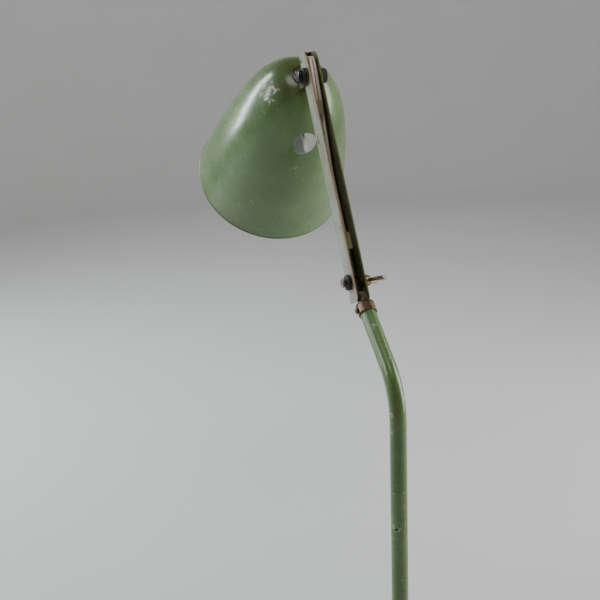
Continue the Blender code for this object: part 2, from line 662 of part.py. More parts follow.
def build_upper_joint():
    across = UPPER @ Matrix.Rotation(math.radians(90), 4, "Y")
    head = -15.0 * MM
    profile = [(0.0, 12.2 * MM), (PIVOT_R - 0.5 * MM, 12.2 * MM), (PIVOT_R, 11.7 * MM)]
    profile += [(PIVOT_R, head + 4.0 * MM), (6.3 * MM, head + 4.0 * MM), (6.3 * MM, head + 1.4 * MM)]
    profile += [(4.9 * MM, head), (0.0, head)]
    lathe("upper_pivot_bolt", profile, across, HEAD, BROWN_STEEL, 20, closed=False)
    outside = CHANNEL_HALF_W + 1.7 * MM + GAP
    washer("upper_washer_left", 8.0 * MM, -outside, -outside - 2.9 * MM, UPPER, HEAD, BLACK)
    washer("upper_washer_right", 7.0 * MM, outside, outside + 1.0 * MM, UPPER, HEAD, BROWN_STEEL)
    cap = outside + 1.3 * MM
    profile = [(0.0, cap + 5.0 * MM), (5.9 * MM, cap + 5.0 * MM), (6.9 * MM, cap + 4.0 * MM)]
    profile += [(6.9 * MM, cap), (PIVOT_HOLE_R, cap), (PIVOT_HOLE_R, cap + 3.6 * MM), (0.0, cap + 3.6 * MM)]
    lathe("upper_cap_nut", profile, across, HEAD, BLACK, 20, closed=False)


def build_neck():
    frame = UPPER @ Matrix.Translation((0.0, POLE_OFFSET, POLE_REACH))
    bore = 3.55 * MM
    outer = SHADE_NECK_R - 0.35 * MM
    flange = -1.6 * MM - GAP
    profile = [(outer, 12.0 * MM), (outer, flange), (8.0 * MM, flange), (8.0 * MM, flange - 1.6 * MM)]
    profile += [(outer + 0.6 * MM, flange - 2.6 * MM), (outer, flange - 3.4 * MM), (outer, -12.8 * MM)]
    profile += [(bore, -12.8 * MM), (bore, 12.0 * MM)]
    lathe("neck_bush", profile, frame, HEAD, BAKELITE, 24)
    nut_low = SHADE_WALL + 0.8 * MM
    hex_nut("neck_nut", 8.2 * MM, SHADE_NECK_R, nut_low, nut_low + 2.8 * MM, frame, HEAD, BRASS)


def build_lampholder():
    frame = UPPER @ Matrix.Translation((0.0, POLE_OFFSET, POLE_REACH))
    cap_low = SHADE_WALL + 3.9 * MM
    body_r = 19.5 * MM
    wall = 1.2 * MM
    split = 33.0 * MM
    profile = [(body_r, split), (body_r, 21.0 * MM), (17.5 * MM, 15.5 * MM), (11.0 * MM, 9.0 * MM)]
    profile += [(8.5 * MM, cap_low), (SHADE_NECK_R, cap_low), (SHADE_NECK_R, cap_low + 2.0 * MM)]
    profile += [(9.0 * MM, 9.2 * MM + wall), (16.0 * MM, 16.2 * MM), (body_r - wall, 21.4 * MM)]
    profile += [(body_r - wall, split)]
    lathe("lampholder_cap", profile, frame, HEAD, BAKELITE, 24)
    body_top = 66.0 * MM
    body_low = split + GAP
    ring_step = 52.0 * MM
    profile = [(body_r - 1.5 * MM, body_top), (body_r - 1.5 * MM, ring_step), (body_r, ring_step)]
    profile += [(body_r, body_low), (body_r - wall, body_low), (body_r - wall, ring_step - 2.0 * MM)]
    profile += [(15.4 * MM, ring_step), (15.4 * MM, body_top)]
    body = lathe("lampholder_body", profile, frame, HEAD, BAKELITE, 24)
    key_z = HOLE_DISTANCE
    key_hole = rod("key_hole", 2.4 * MM, (0, 10 * MM, key_z), (0, 30 * MM, key_z), frame, CUTTERS, 16)
    combine(body, "DIFFERENCE", [key_hole])
    skirt_low = ring_step + 2.0 * MM
    skirt_in = body_r - 1.5 * MM + GAP
    ring("holder_ring", 23.0 * MM, skirt_in, skirt_low, skirt_low + 6.0 * MM, frame, HEAD, BAKELITE, 24)
    insert_r = body_r - wall - GAP
    disc("holder_insert", insert_r, 25.0 * MM, 38.0 * MM, frame, HEAD, CERAMIC, 24)
    contact = [(0.0, 41.6 * MM), (4.0 * MM, 41.6 * MM), (5.0 * MM, 38.0 * MM + GAP), (0.0, 38.0 * MM + GAP)]
    lathe("centre_contact", contact, frame, HEAD, BRASS, 16, closed=False)
    ring("screw_shell", 15.0 * MM, 14.3 * MM, 46.5 * MM, 65.0 * MM, frame, HEAD, BRASS, 24)

    key_frame = frame @ Matrix.Translation((0.0, 0.0, key_z)) @ Matrix.Rotation(math.radians(-90), 4, "X")
    key_axis = empty("switch_key_axis", HEAD, key_frame)
    stem_end = 46.0 * MM
    stem_start = 15.6 * MM
    key = disc("switch_key", 1.7 * MM, stem_start, stem_end, key_frame, key_axis, CERAMIC, 16)
    blade = [(-3.0 * MM, 43.0 * MM), (3.0 * MM, 43.0 * MM)] + arc((0.0, 55.5 * MM), 3.0 * MM, 0, 180, 12)
    tab = outline("key_tab", blade, 1.1 * MM, key_frame, CUTTERS)
    combine(key, "UNION", [tab])


def build_bulb():
    frame = UPPER @ Matrix.Translation((0.0, POLE_OFFSET, POLE_REACH))
    cap_r = 13.3 * MM
    profile = [(cap_r, 71.0 * MM), (cap_r, 48.0 * MM), (10.0 * MM, 44.6 * MM), (5.0 * MM, 44.6 * MM)]
    profile += [(5.0 * MM, 46.0 * MM), (12.3 * MM, 49.0 * MM), (12.3 * MM, 71.0 * MM)]
    lathe("bulb_cap", profile, frame, HEAD, BRASS, 24)
    profile = [(0.0, 45.4 * MM), (4.6 * MM, 45.4 * MM), (4.6 * MM, 43.4 * MM)]
    profile += [(3.5 * MM, 42.2 * MM), (0.0, 42.2 * MM)]
    lathe("bulb_contact", profile, frame, HEAD, STEEL, 16, closed=False)

    globe_r = 30.0 * MM
    centre = 120.0 * MM
    neck = 12.0 * MM
    wall = 1.0 * MM
    outer = arc((0.0, centre), globe_r, 90, -40, 8)
    outer += [(16.5 * MM, 88.0 * MM), (neck + 1.2 * MM, 78.0 * MM), (neck + 1.2 * MM, 71.3 * MM)]
    outer += [(neck - 0.3 * MM, 71.3 * MM), (neck - 0.3 * MM, 60.0 * MM)]
    inner = arc((0.0, centre), globe_r - wall, -40, 90, 8)
    inner = [(neck - 1.3 * MM, 60.0 * MM), (neck - 1.3 * MM, 78.0 * MM), (15.4 * MM, 88.6 * MM)] + inner
    lathe("bulb_globe", outer + inner, frame, HEAD, GLASS, 20, closed=False)


clear_scene()
PARTS = new_collection("swing_arm_desk_lamp")
CUTTERS = new_collection("cutters")
GREEN = material("sage_green_enamel", (0.26, 0.38, 0.22), 0.32)
BROWN_STEEL = material("browned_steel", (0.16, 0.09, 0.05), 0.5, 1.0)
STEEL = material("plain_steel", (0.45, 0.44, 0.42), 0.4, 1.0)
BRASS = material("dull_brass", (0.32, 0.22, 0.1), 0.45, 1.0)
BLACK = material("black_fibre", (0.02, 0.018, 0.016), 0.6)
FIBRE = material("brown_fibre", (0.12, 0.06, 0.03), 0.8)
BAKELITE = material("brown_bakelite", (0.06, 0.03, 0.02), 0.3)
CERAMIC = material("white_ceramic", (0.8, 0.78, 0.72), 0.3)
RUBBER = material("black_rubber", (0.02, 0.02, 0.02), 0.7)
FELT = material("green_felt", (0.05, 0.08, 0.05), 0.95)
CAST_IRON = material("cast_iron", (0.08, 0.08, 0.08), 0.7, 1.0)
FLEX = material("cream_flex", (0.75, 0.62, 0.53), 0.5)
GLASS = material("opal_glass", (0.9, 0.88, 0.84), 0.2)

TUBE_END, LOWER, UPPER = joint_frames()
BASE = empty("base_frame")
STEM = empty("stem_frame", BASE)
KNUCKLE = empty("knuckle_frame", STEM, TUBE_END)
ARM = empty("arm_frame", KNUCKLE, LOWER)
WING = empty("wing_nut_frame", ARM, LOWER)
HEAD = empty("head_frame", ARM, UPPER)

build_base()
build_stem()
build_knuckle()
build_channel()
build_lower_joint()
build_wing_nut()
build_flex()
build_shade()
build_yoke()
build_upper_joint()
build_neck()
build_lampholder()
build_bulb()
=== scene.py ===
import json
from math import acos, atan2, cos, pi, radians, sin, tan

import bmesh
import bpy
from mathutils import Matrix, Vector, noise


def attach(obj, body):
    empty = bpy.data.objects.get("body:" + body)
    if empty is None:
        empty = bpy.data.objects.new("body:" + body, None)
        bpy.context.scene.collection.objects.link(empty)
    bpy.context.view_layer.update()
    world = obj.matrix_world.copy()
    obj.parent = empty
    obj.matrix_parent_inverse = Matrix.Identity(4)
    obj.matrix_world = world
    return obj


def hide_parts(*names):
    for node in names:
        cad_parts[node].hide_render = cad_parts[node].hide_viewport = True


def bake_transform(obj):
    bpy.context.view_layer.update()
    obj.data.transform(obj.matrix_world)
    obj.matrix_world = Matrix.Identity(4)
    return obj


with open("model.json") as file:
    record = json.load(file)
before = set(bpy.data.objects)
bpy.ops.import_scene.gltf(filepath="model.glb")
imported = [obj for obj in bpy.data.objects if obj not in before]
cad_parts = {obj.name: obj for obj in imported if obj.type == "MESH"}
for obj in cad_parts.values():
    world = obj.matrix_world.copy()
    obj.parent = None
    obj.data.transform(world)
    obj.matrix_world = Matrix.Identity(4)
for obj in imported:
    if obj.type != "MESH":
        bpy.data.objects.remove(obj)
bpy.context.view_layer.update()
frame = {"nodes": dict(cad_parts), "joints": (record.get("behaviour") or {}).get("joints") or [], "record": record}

MM = 0.001
JOINTS = {joint["name"]: joint for joint in frame["joints"]}
PIVOT_BORE_R = 2.85
RIVET_BORE_R = 1.7
SHEET = 1.0 * MM


def put(name, data):
    """A new object in the scene."""
    made = bpy.data.objects.new(name, data)
    bpy.context.scene.collection.objects.link(made)
    return made


# Camera
CAMERA_AT = Vector((-0.2525, -0.6119, 0.5754))
CAMERA_AZIMUTH = radians(15.92)
CAMERA_PITCH = radians(14.49)
CAMERA_ROLL = radians(2.26)
CAMERA_LENS = 52.67


def make_camera():
    """The photograph's viewpoint: above the joint, looking slightly down at the back of the shade."""
    ahead = Vector((sin(CAMERA_AZIMUTH), cos(CAMERA_AZIMUTH), 0.0))
    level = Vector((cos(CAMERA_AZIMUTH), -sin(CAMERA_AZIMUTH), 0.0))
    down = Vector((0.0, 0.0, -1.0))
    look = ahead * cos(CAMERA_PITCH) + down * sin(CAMERA_PITCH)
    rise = ahead * sin(CAMERA_PITCH) - down * cos(CAMERA_PITCH)
    right = level * cos(CAMERA_ROLL) - rise * sin(CAMERA_ROLL)
    top = level * sin(CAMERA_ROLL) + rise * cos(CAMERA_ROLL)
    data = bpy.data.cameras.new("camera")
    data.lens = CAMERA_LENS
    data.sensor_width = 36.0
    data.clip_start = 0.01
    camera = put("camera", data)
    columns = Matrix((right, top, -look)).transposed().to_4x4()
    camera.matrix_world = Matrix.Translation(CAMERA_AT) @ columns
    bpy.context.scene.camera = camera


make_camera()


# Frames of the bodies, each with Z along the piece
def turn(degrees, axis):
    return Matrix.Rotation(radians(degrees), 4, axis)


def upright_frame(origin, along):
    """A frame with X across the lamp, as the CAD has it, and Z along a direction in the lamp's plane."""
    z = Vector(along).normalized()
    x = Vector((1.0, 0.0, 0.0))
    y = z.cross(x)
    return Matrix.Translation(origin) @ Matrix((x, y, z)).transposed().to_4x4()


HOME = Matrix.Identity(4)
P_END = Vector(JOINTS["knuckle_swivel"]["pos_m"])
P_LOW = Vector(JOINTS["arm_tilt"]["pos_m"])
P_TOP = Vector(JOINTS["head_tilt"]["pos_m"])
KEY_AXIS = Vector(JOINTS["switch_key_turn"]["axis"])
TUBE_END = upright_frame(P_END, JOINTS["knuckle_swivel"]["axis"])
LOWER = upright_frame(P_LOW, P_TOP - P_LOW)
UPPER = upright_frame(P_TOP, Vector((1.0, 0.0, 0.0)).cross(KEY_AXIS))
ARM_LENGTH = (P_TOP - P_LOW).length


def extent(node, matrix=HOME):
    """Lowest and highest corner of a CAD node in a frame."""
    back = matrix.inverted()
    points = [back @ vertex.co for vertex in frame["nodes"][node].data.vertices]
    low = Vector([min(point[axis] for point in points) for axis in range(3)])
    high = Vector([max(point[axis] for point in points) for axis in range(3)])
    return low, high


BUSH_LOW, BUSH_HIGH = extent("neck_bush", UPPER)
POLE_OFFSET = (BUSH_LOW.y + BUSH_HIGH.y) / 2
POLE_REACH = extent("shade", UPPER)[0].z
POLE = UPPER @ Matrix.Translation((0.0, POLE_OFFSET, POLE_REACH))
KEY_HEIGHT = (POLE.inverted() @ Vector(JOINTS["switch_key_turn"]["pos_m"])).z
KEY = POLE @ Matrix.Translation((0.0, 0.0, KEY_HEIGHT)) @ turn(-90, "X")
TUBE_R = 7.0 * MM
CHANNEL_HALF_W, CHANNEL_HALF_D, CHANNEL_TOP = extent("arm_channel", LOWER)[1]


# Materials
SAGE = (0.114, 0.216, 0.064)
SAGE_DARK = (0.068, 0.142, 0.038)
OLIVE = (0.115, 0.13, 0.032)
CREAM = (0.62, 0.60, 0.47)
TAN = (0.27, 0.195, 0.115)
BARE = (0.030, 0.019, 0.013)


class Finish:
    """A Principled material, with short calls for the nodes that feed it."""

    def __init__(self, name, **values):
        self.mat = bpy.data.materials.new(name)
        self.mat.use_nodes = True
        self.tree = self.mat.node_tree
        self.shader = self.tree.nodes["Principled BSDF"]
        for key, value in values.items():
            self.shader.inputs[key.replace("_", " ")].default_value = value
        self.place = self.node("TexCoord").outputs["Object"]

    def node(self, kind, inputs=None, **settings):
        made = self.tree.nodes.new("ShaderNode" + kind)
        for key, value in settings.items():
            setattr(made, key, value)
        for key, value in (inputs or {}).items():
            if isinstance(value, bpy.types.NodeSocket):
                self.tree.links.new(value, made.inputs[key])
            else:
                made.inputs[key].default_value = value
        return made

    def feed(self, key, value):
        self.tree.links.new(value, self.shader.inputs[key])

    def vector(self, operation, first, second, output="Value"):
        return self.node("VectorMath", {0: first, 1: second}, operation=operation).outputs[output]

    def stretched(self, factors, turned=(0.0, 0.0, 0.0)):
        mapping = self.node("Mapping", {"Vector": self.place, "Rotation": turned})
        return self.vector("MULTIPLY", mapping.outputs[0], factors, "Vector")

    def noise(self, scale, detail=4.0, rough=0.55, at=None, distort=0.0):
        inputs = {"Vector": at or self.place, "Scale": scale, "Detail": detail}
        inputs.update({"Roughness": rough, "Distortion": distort})
        return self.node("TexNoise", inputs).outputs[0]

    def away(self, point):
        """Distance from a point."""
        return self.vector("DISTANCE", self.place, point)

    def along(self, direction):
        """Distance from the origin along a direction."""
        return self.vector("DOT_PRODUCT", self.place, direction)

    def step(self, value, low, high, to_low=0.0, to_high=1.0):
        inputs = {"Value": value, "From Min": low, "From Max": high, "To Min": to_low, "To Max": to_high}
        return self.node("MapRange", inputs, interpolation_type="SMOOTHSTEP").outputs[0]

    def maths(self, operation, first, second):
        return self.node("Math", {0: first, 1: second}, operation=operation, use_clamp=True).outputs[0]

    def times(self, first, second):
        return self.maths("MULTIPLY", first, second)

    def mix(self, share, first, second):
        inputs = {0: share}
        for socket, colour in ((6, first), (7, second)):
            inputs[socket] = colour if isinstance(colour, bpy.types.NodeSocket) else (*colour, 1.0)
        return self.node("Mix", inputs, data_type="RGBA").outputs[2]

    def edges(self, radius):
        """1 on sharp edges within the radius, 0 on open faces."""
        soft = self.node("Bevel", {"Radius": radius}, samples=6).outputs[0]
        true = self.node("NewGeometry").outputs["Normal"]
        return self.step(self.vector("DOT_PRODUCT", soft, true), 0.84, 0.97, 1.0, 0.0)

    def shut(self):
        """1 in the open, 0 deep in a corner; the finishes paint shade into corners with it."""
        return self.node("AmbientOcclusion", {"Distance": 9.0 * MM}, samples=8).outputs["AO"]

    def bump(self, height, distance, strength, under=None):
        inputs = {"Height": height, "Distance": distance, "Strength": strength}
        if under:
            inputs["Normal"] = under
        return self.node("Bump", inputs).outputs[0]


def arm_tint(made, colour):
    """Olive dirt and painted shade in the channel, painted light at the tongues, green on the right, rubbed tan
    left.
    """
    across_arm = LOWER.col[1].to_3d()
    edge = across_arm.dot(P_LOW) - CHANNEL_HALF_D
    depth = made.along(across_arm)
    below = made.step(depth, edge + 0.3 * MM, edge + 1.6 * MM)
    side = made.node("SeparateXYZ", {0: made.place}).outputs[0]
    wall = CHANNEL_HALF_W - 0.9 * MM
    off_left = made.step(side, -wall, -wall + 0.25 * MM)
    within = made.times(off_left, made.step(side, wall, wall - 0.25 * MM))
    # Dirt and painted shade: dark olive and brown deep inside the channel.
    dirt = made.step(made.noise(90.0, 6.0), 0.35, 0.65)
    dirt_and_shade = made.mix(dirt, (0.15, 0.145, 0.04), (0.10, 0.062, 0.032))
    # Painted light: a brighter olive towards the right at the tongues' depth, their left parts left in painted
    # shade.
    front = made.step(depth, edge + 4.8 * MM, edge + 4.2 * MM)
    painted_light = made.times(front, made.step(side, -4.0 * MM, 1.0 * MM, 0.25, 0.9))
    dirt_and_shade = made.mix(painted_light, dirt_and_shade, (0.27, 0.27, 0.10))
    rubbed = made.step(made.noise(70.0, 6.0), 0.3, 0.55)
    rubbed = made.times(made.step(depth, edge + 9.0 * MM, edge + 4.0 * MM), rubbed)
    colour = made.mix(rubbed, colour, TAN)
    right = made.step(side, 0.0, 2.0 * MM)
    colour = made.mix(right, colour, made.mix(made.noise(60.0), SAGE, OLIVE))
    return made.mix(made.times(below, within), colour, dirt_and_shade)


def shade_tint(made, colour):
    """Olive and brown stains round the shade's neck, and a patch rubbed down to the pale undercoat."""
    neck = POLE.to_translation()
    near = made.step(made.away(neck), 45.0 * MM, 12.0 * MM)
    stain = made.mix(made.noise(70.0), OLIVE, (0.075, 0.05, 0.02))
    spread = made.step(made.noise(55.0, 6.0), 0.38, 0.6, 0.1, 0.85)
    colour = made.mix(made.times(near, spread), colour, stain)
    patch = made.step(made.away(POLE @ (Vector((-33.0, 9.0, 14.5)) * MM)), 16.0 * MM, 4.0 * MM)
    flaked = made.step(made.noise(190.0, 6.0, 0.7), 0.54, 0.56)
    return made.mix(made.times(patch, flaked), colour, CREAM)


def knuckle_painted_shade(made, colour):
    """The knuckle's tongue is painted near black above its foot, a painted shade between the channel's sides."""
    along = TUBE_END.col[2].to_3d()
    start = along.dot(P_END)
    painted_shade_share = made.step(made.along(along), start + 11.5 * MM, start + 14.0 * MM)
    return made.mix(painted_shade_share, colour, (0.015, 0.012, 0.010))


def flex_dust_and_painted_shade(made, colour):
    """Oil, dust and painted shade darken the flex to brown where it passes the lower pivot, deep in the channel.
    """
    painted_shade_share = made.step(made.away(P_LOW), 42.0 * MM, 26.0 * MM, 0.0, 0.9)
    return made.mix(painted_shade_share, colour, (0.19, 0.145, 0.105))


def enamel(
    name, light, dark, stain, bare, chips, worn=0.5, gloss=0.24, grain=None, edge=CREAM, grime_and_shade=0.7, tint=None
):
    """Old stove enamel: mottled, darkened in its corners with painted shade, rubbed pale at edges, chipped,
    scratched and specked.
    """
    made = Finish(name, Specular_IOR_Level=0.5, Coat_Weight=0.3, Coat_Roughness=0.14)
    tone = made.step(made.noise(14.0, 5.0, 0.6), 0.36, 0.66)
    colour = made.mix(tone, light, dark)
    mottle = made.step(made.noise(120.0, 6.0, 0.7), 0.42, 0.78, 0.0, 0.5)
    colour = made.mix(mottle, colour, stain)
    factors, lean = grain or ((260.0, 260.0, 260.0), 0.0)
    streak = made.noise(1.0, 7.0, 0.62, at=made.stretched(factors, (lean, 0.0, 0.0)))
    dirt = made.step(streak, 0.50, 0.74, 0.0, 0.6)
    colour = made.mix(dirt, colour, stain)
    if tint:
        colour = tint(made, colour)
    # Painted shade: dark brown laid into corners and recesses by the ambient occlusion.
    corner = made.step(made.shut(), 0.25, 0.72, grime_and_shade, 0.0)
    colour = made.mix(corner, colour, (0.055, 0.042, 0.02))
    rim = made.edges(0.9 * MM)
    rubbed = made.times(rim, made.step(made.noise(85.0, 6.0), 0.34, 0.52, 0.15, 0.9))
    colour = made.mix(rubbed, colour, edge)
    patch = made.noise(75.0, 9.0, 0.68)
    reach = made.maths("ADD", patch, made.times(rim, worn))
    chip = made.step(reach, chips, chips + 0.018)
    halo = made.step(reach, chips - 0.035, chips)
    places = made.noise(30.0, 3.0)
    fine = made.noise(520.0, 3.0, 0.5)
    speck = made.times(made.step(fine, 0.685, 0.70), made.step(places, 0.45, 0.62))
    pale = made.times(made.step(fine, 0.325, 0.305), made.step(places, 0.55, 0.42))
    scratch_place = made.stretched((900.0, 900.0, 60.0), (0.6, 0.35, 0.0))
    scratch = made.step(made.noise(1.0, 2.0, 0.5, at=scratch_place), 0.705, 0.73, 0.0, 0.55)
    colour = made.mix(scratch, colour, [min(1.0, 1.6 * c) for c in light])
    colour = made.mix(made.times(halo, 0.7), colour, edge)
    colour = made.mix(pale, colour, CREAM)
    bare_tone = made.mix(made.step(made.noise(260.0, 6.0), 0.4, 0.6), bare, [c * 2.4 for c in bare])
    hurt = made.maths("MAXIMUM", chip, speck)
    made.feed("Base Color", made.mix(hurt, colour, bare_tone))
    polish = made.step(made.noise(48.0, 6.0), 0.3, 0.75, gloss, gloss + 0.14)
    rough = made.maths("ADD", polish, made.times(dirt, 0.2))
    made.feed("Roughness", made.maths("ADD", rough, made.times(hurt, 0.35)))
    peel = made.bump(made.noise(620.0, 2.0, 0.5), 0.05 * MM, 0.35)
    whole = made.maths("SUBTRACT", 1.0, made.maths("MAXIMUM", hurt, pale))
    made.feed("Normal", made.bump(whole, 0.16 * MM, 0.9, peel))
    return made.mat


def metal(
    name, clean, tarnish, dark, rough, metallic, grain=(1.0, 1.0, 1.0), polish=None, tint=None
):
    """Bare metal with patches of tarnish, darker pits, fine machining lines and rubbed edges."""
    made = Finish(name, Metallic=metallic)
    patch = made.step(made.noise(110.0, 8.0, 0.66), 0.38, 0.62)
    colour = made.mix(patch, clean, tarnish)
    pit = made.step(made.noise(420.0, 6.0, 0.6), 0.56, 0.68)
    colour = made.mix(made.times(pit, 0.8), colour, dark)
    rim = made.times(made.edges(0.6 * MM), made.step(made.noise(240.0, 4.0), 0.3, 0.55))
    polish = polish or [min(1.0, 1.9 * c) for c in clean]
    colour = made.mix(made.times(rim, 0.7), colour, polish)
    if tint:
        colour = tint(made, colour)
    # Painted shade: near black in corners and gaps, from the ambient occlusion.
    colour = made.mix(made.step(made.shut(), 0.2, 0.75, 0.85, 0.0), colour, (0.02, 0.014, 0.01))
    made.feed("Base Color", colour)
    base = made.step(made.noise(300.0, 6.0), 0.3, 0.7, *rough)
    made.feed("Roughness", made.maths("SUBTRACT", base, made.times(rim, 0.16)))
    lines = made.noise(1.0, 4.0, 0.6, at=made.stretched([1500.0 * g for g in grain]))
    fine = made.bump(lines, 0.03 * MM, 0.5)
    made.feed("Normal", made.bump(made.maths("SUBTRACT", 1.0, pit), 0.08 * MM, 0.7, fine))
    return made.mat


def plastic(name, light, dark, rough, scale, dust, dusty, relief, tint=None, worn=0.4, **values):
    """Moulded or fibre material: two tones, dust that gathers in patches, and a fine grain."""
    made = Finish(name, **values)
    colour = made.mix(made.step(made.noise(scale, 7.0, 0.6, distort=0.6), 0.35, 0.65), light, dark)
    grime_and_shade = made.step(made.noise(scale * 0.45, 8.0, 0.7), 0.5, 0.8, 0.0, dusty)
    rim = made.times(made.edges(0.6 * MM), worn)
    colour = made.mix(made.maths("MAXIMUM", grime_and_shade, rim), colour, dust)
    if tint:
        colour = tint(made, colour)
    made.feed("Base Color", colour)
    base = made.step(made.noise(scale * 4.0, 5.0), 0.3, 0.7, *rough)
    made.feed("Roughness", made.maths("ADD", base, made.times(grime_and_shade, 0.4)))
    made.feed("Normal", made.bump(made.noise(scale * 14.0, 4.0, 0.6), relief * MM, 0.6))
    return made.mat


ALONG_ARM = acos((P_TOP - P_LOW).normalized().z)
BROWN_STEEL = (
    (0.235, 0.155, 0.105), (0.12, 0.07, 0.04), (0.03, 0.018, 0.012), (0.30, 0.55), 0.8,
    (1.0, 1.0, 0.2), (0.55, 0.52, 0.5),
)
FINISHES = {
    "green_enamel": enamel("sage_enamel", SAGE, SAGE_DARK, OLIVE, BARE, 0.70, tint=shade_tint),
    # Painted shade: the yoke's enamel is a darker olive copy, for the shadow under the pivot washer.
    "yoke_enamel": enamel(
        "painted_shade_olive_yoke", (0.085, 0.10, 0.03), (0.05, 0.055, 0.02), (0.06, 0.04, 0.02), BARE, 0.64
    ),
    "tube_enamel": enamel(
        "sage_enamel_tube", SAGE, SAGE_DARK, (0.15, 0.12, 0.04), BARE, 0.655, 0.4,
        grain=((260.0, 260.0, 30.0), 0.0),
    ),
    "arm_enamel": enamel(
        "sage_enamel_arm", (0.31, 0.335, 0.29), (0.17, 0.215, 0.14), (0.17, 0.135, 0.06),
        (0.07, 0.045, 0.025), 0.63, 0.2, 0.34, ((420.0, 420.0, 20.0), ALONG_ARM), TAN, 0.8, arm_tint,
    ),
    "white_enamel": enamel(
        "white_enamel", (0.78, 0.78, 0.73), (0.68, 0.67, 0.6), (0.42, 0.33, 0.2), BARE, 0.71, 0.4, 0.2,
        grime_and_shade=0.3,
    ),
    "browned_steel": metal("browned_steel", *BROWN_STEEL),
    "worn_steel": metal(
        "worn_steel", (0.40, 0.36, 0.34), (0.20, 0.15, 0.12), (0.05, 0.035, 0.025), (0.30, 0.5), 0.9,
        polish=(0.7, 0.68, 0.7),
    ),
    "blued_steel": metal(
        "blued_steel", (0.055, 0.047, 0.052), (0.03, 0.023, 0.021), (0.012, 0.009, 0.008), (0.16, 0.34),
        0.85, polish=(0.13, 0.12, 0.125),
    ),
    "plain_steel": metal(
        "plain_steel", (0.5, 0.49, 0.47), (0.34, 0.31, 0.27), (0.09, 0.065, 0.045), (0.24, 0.46), 1.0,
        (1.0, 1.0, 0.1),
    ),
    "brass": metal(
        "dull_brass", (0.30, 0.235, 0.135), (0.17, 0.12, 0.065), (0.05, 0.034, 0.02), (0.26, 0.5), 0.95,
        (1.0, 1.0, 0.4), (0.75, 0.68, 0.56),
    ),
    "black_fibre": plastic(
        "black_fibre", (0.018, 0.015, 0.014), (0.035, 0.03, 0.027), (0.5, 0.75), 120.0,
        (0.16, 0.13, 0.11), 0.35, 0.08,
    ),
    "brown_fibre": plastic(
        "brown_fibre", (0.12, 0.06, 0.03), (0.07, 0.035, 0.02), (0.7, 0.9), 160.0, (0.2, 0.15, 0.1), 0.3,
        0.1,
    ),
    "bakelite": plastic(
        "brown_bakelite", (0.05, 0.024, 0.014), (0.085, 0.04, 0.02), (0.18, 0.32), 60.0,
        (0.2, 0.17, 0.13), 0.25, 0.02, Coat_Weight=0.4, Coat_Roughness=0.2,
    ),
    "ceramic": plastic(
        "white_ceramic", (0.8, 0.78, 0.72), (0.7, 0.66, 0.58), (0.16, 0.3), 70.0, (0.35, 0.3, 0.22), 0.3,
        0.02, Coat_Weight=0.6,
    ),
    "rubber": plastic(
        "black_rubber", (0.016, 0.016, 0.017), (0.03, 0.029, 0.028), (0.6, 0.8), 100.0, (0.12, 0.11, 0.1),
        0.4, 0.1,
    ),
    "felt": plastic(
        "green_felt", (0.045, 0.085, 0.05), (0.025, 0.05, 0.03), (0.9, 1.0), 240.0, (0.11, 0.11, 0.09),
        0.5, 0.6, Sheen_Weight=0.5,
    ),
    "cast_iron": metal(
        "cast_iron", (0.11, 0.105, 0.10), (0.06, 0.05, 0.045), (0.02, 0.016, 0.014), (0.55, 0.8), 0.85,
    ),
    # The knuckle's finish carries a painted shade on its tongue.
    "knuckle_steel": metal("knuckle_steel", *BROWN_STEEL, knuckle_painted_shade),
    "flex": plastic(
        "cream_flex", (0.92, 0.82, 0.72), (0.84, 0.70, 0.58), (0.34, 0.5), 55.0, (0.42, 0.30, 0.2), 0.22,
        0.06, flex_dust_and_painted_shade, 0.03, Subsurface_Weight=0.08, Subsurface_Radius=(0.002, 0.001, 0.0006),
    ),
    "opal_glass": plastic(
        "opal_glass", (0.90, 0.885, 0.85), (0.84, 0.815, 0.76), (0.08, 0.16), 30.0, (0.5, 0.45, 0.38),
        0.2, 0.006, Coat_Weight=0.5, Subsurface_Weight=0.25,
    ),
}
SLOT_OF = {part["node"]: part["material_slot"] for part in frame["record"]["subparts"]}


# Mesh helpers
def fillet(points, closed=True, steps=4):
    """Rounds the corners of a profile of (radius, height, fillet) points in millimetres; gives metres."""
    count = len(points)
    rounded = []
    for index, point in enumerate(points):
        here = Vector(point[:2])
        soft = point[2] if len(point) > 2 else 0.0
        ends = not closed and index in (0, count - 1)
        if soft == 0.0 or ends:
            rounded.append(here * MM)
            continue
        before = Vector(points[index - 1][:2]) - here
        after = Vector(points[(index + 1) % count][:2]) - here
        soft = min(soft, before.length * 0.49, after.length * 0.49)
        start = here + before.normalized() * soft
        end = here + after.normalized() * soft
        for step in range(steps + 1):
            share = step / steps
            rounded.append((start.lerp(here, share)).lerp(here.lerp(end, share), share) * MM)
    return [(point.x, point.y) for point in rounded]


def rows_solid(rows, count):
    """Faces of a solid whose vertices are rows of points: the two ends, then the sides between the rows."""
    last = (rows - 1) * count
    faces = [tuple(range(count)), tuple(range(last, last + count))]
    for low in range(0, last, count):
        for step in range(count):
            after = (step + 1) % count
            faces.append((low + step, low + after, low + count + after, low + count + step))
    return faces


def mesh_piece(name, vertices, faces, finishes, matrix, marks=None):
    """A piece from vertices and faces in a frame, with outward normals, smooth but for its sharp edges."""
    mesh = bpy.data.meshes.new(name)
    mesh.from_pydata([matrix @ Vector(vertex) for vertex in vertices], [], faces)
    if marks:
        mesh.polygons.foreach_set("material_index", marks)
    shape = bmesh.new()
    shape.from_mesh(mesh)
    bmesh.ops.recalc_face_normals(shape, faces=shape.faces)
    shape.to_mesh(mesh)
    shape.free()
    for finish in finishes:
        mesh.materials.append(FINISHES[finish])
    mesh.shade_smooth()
    mesh.set_sharp_from_angle(angle=radians(40.0))
    return put(name, mesh)


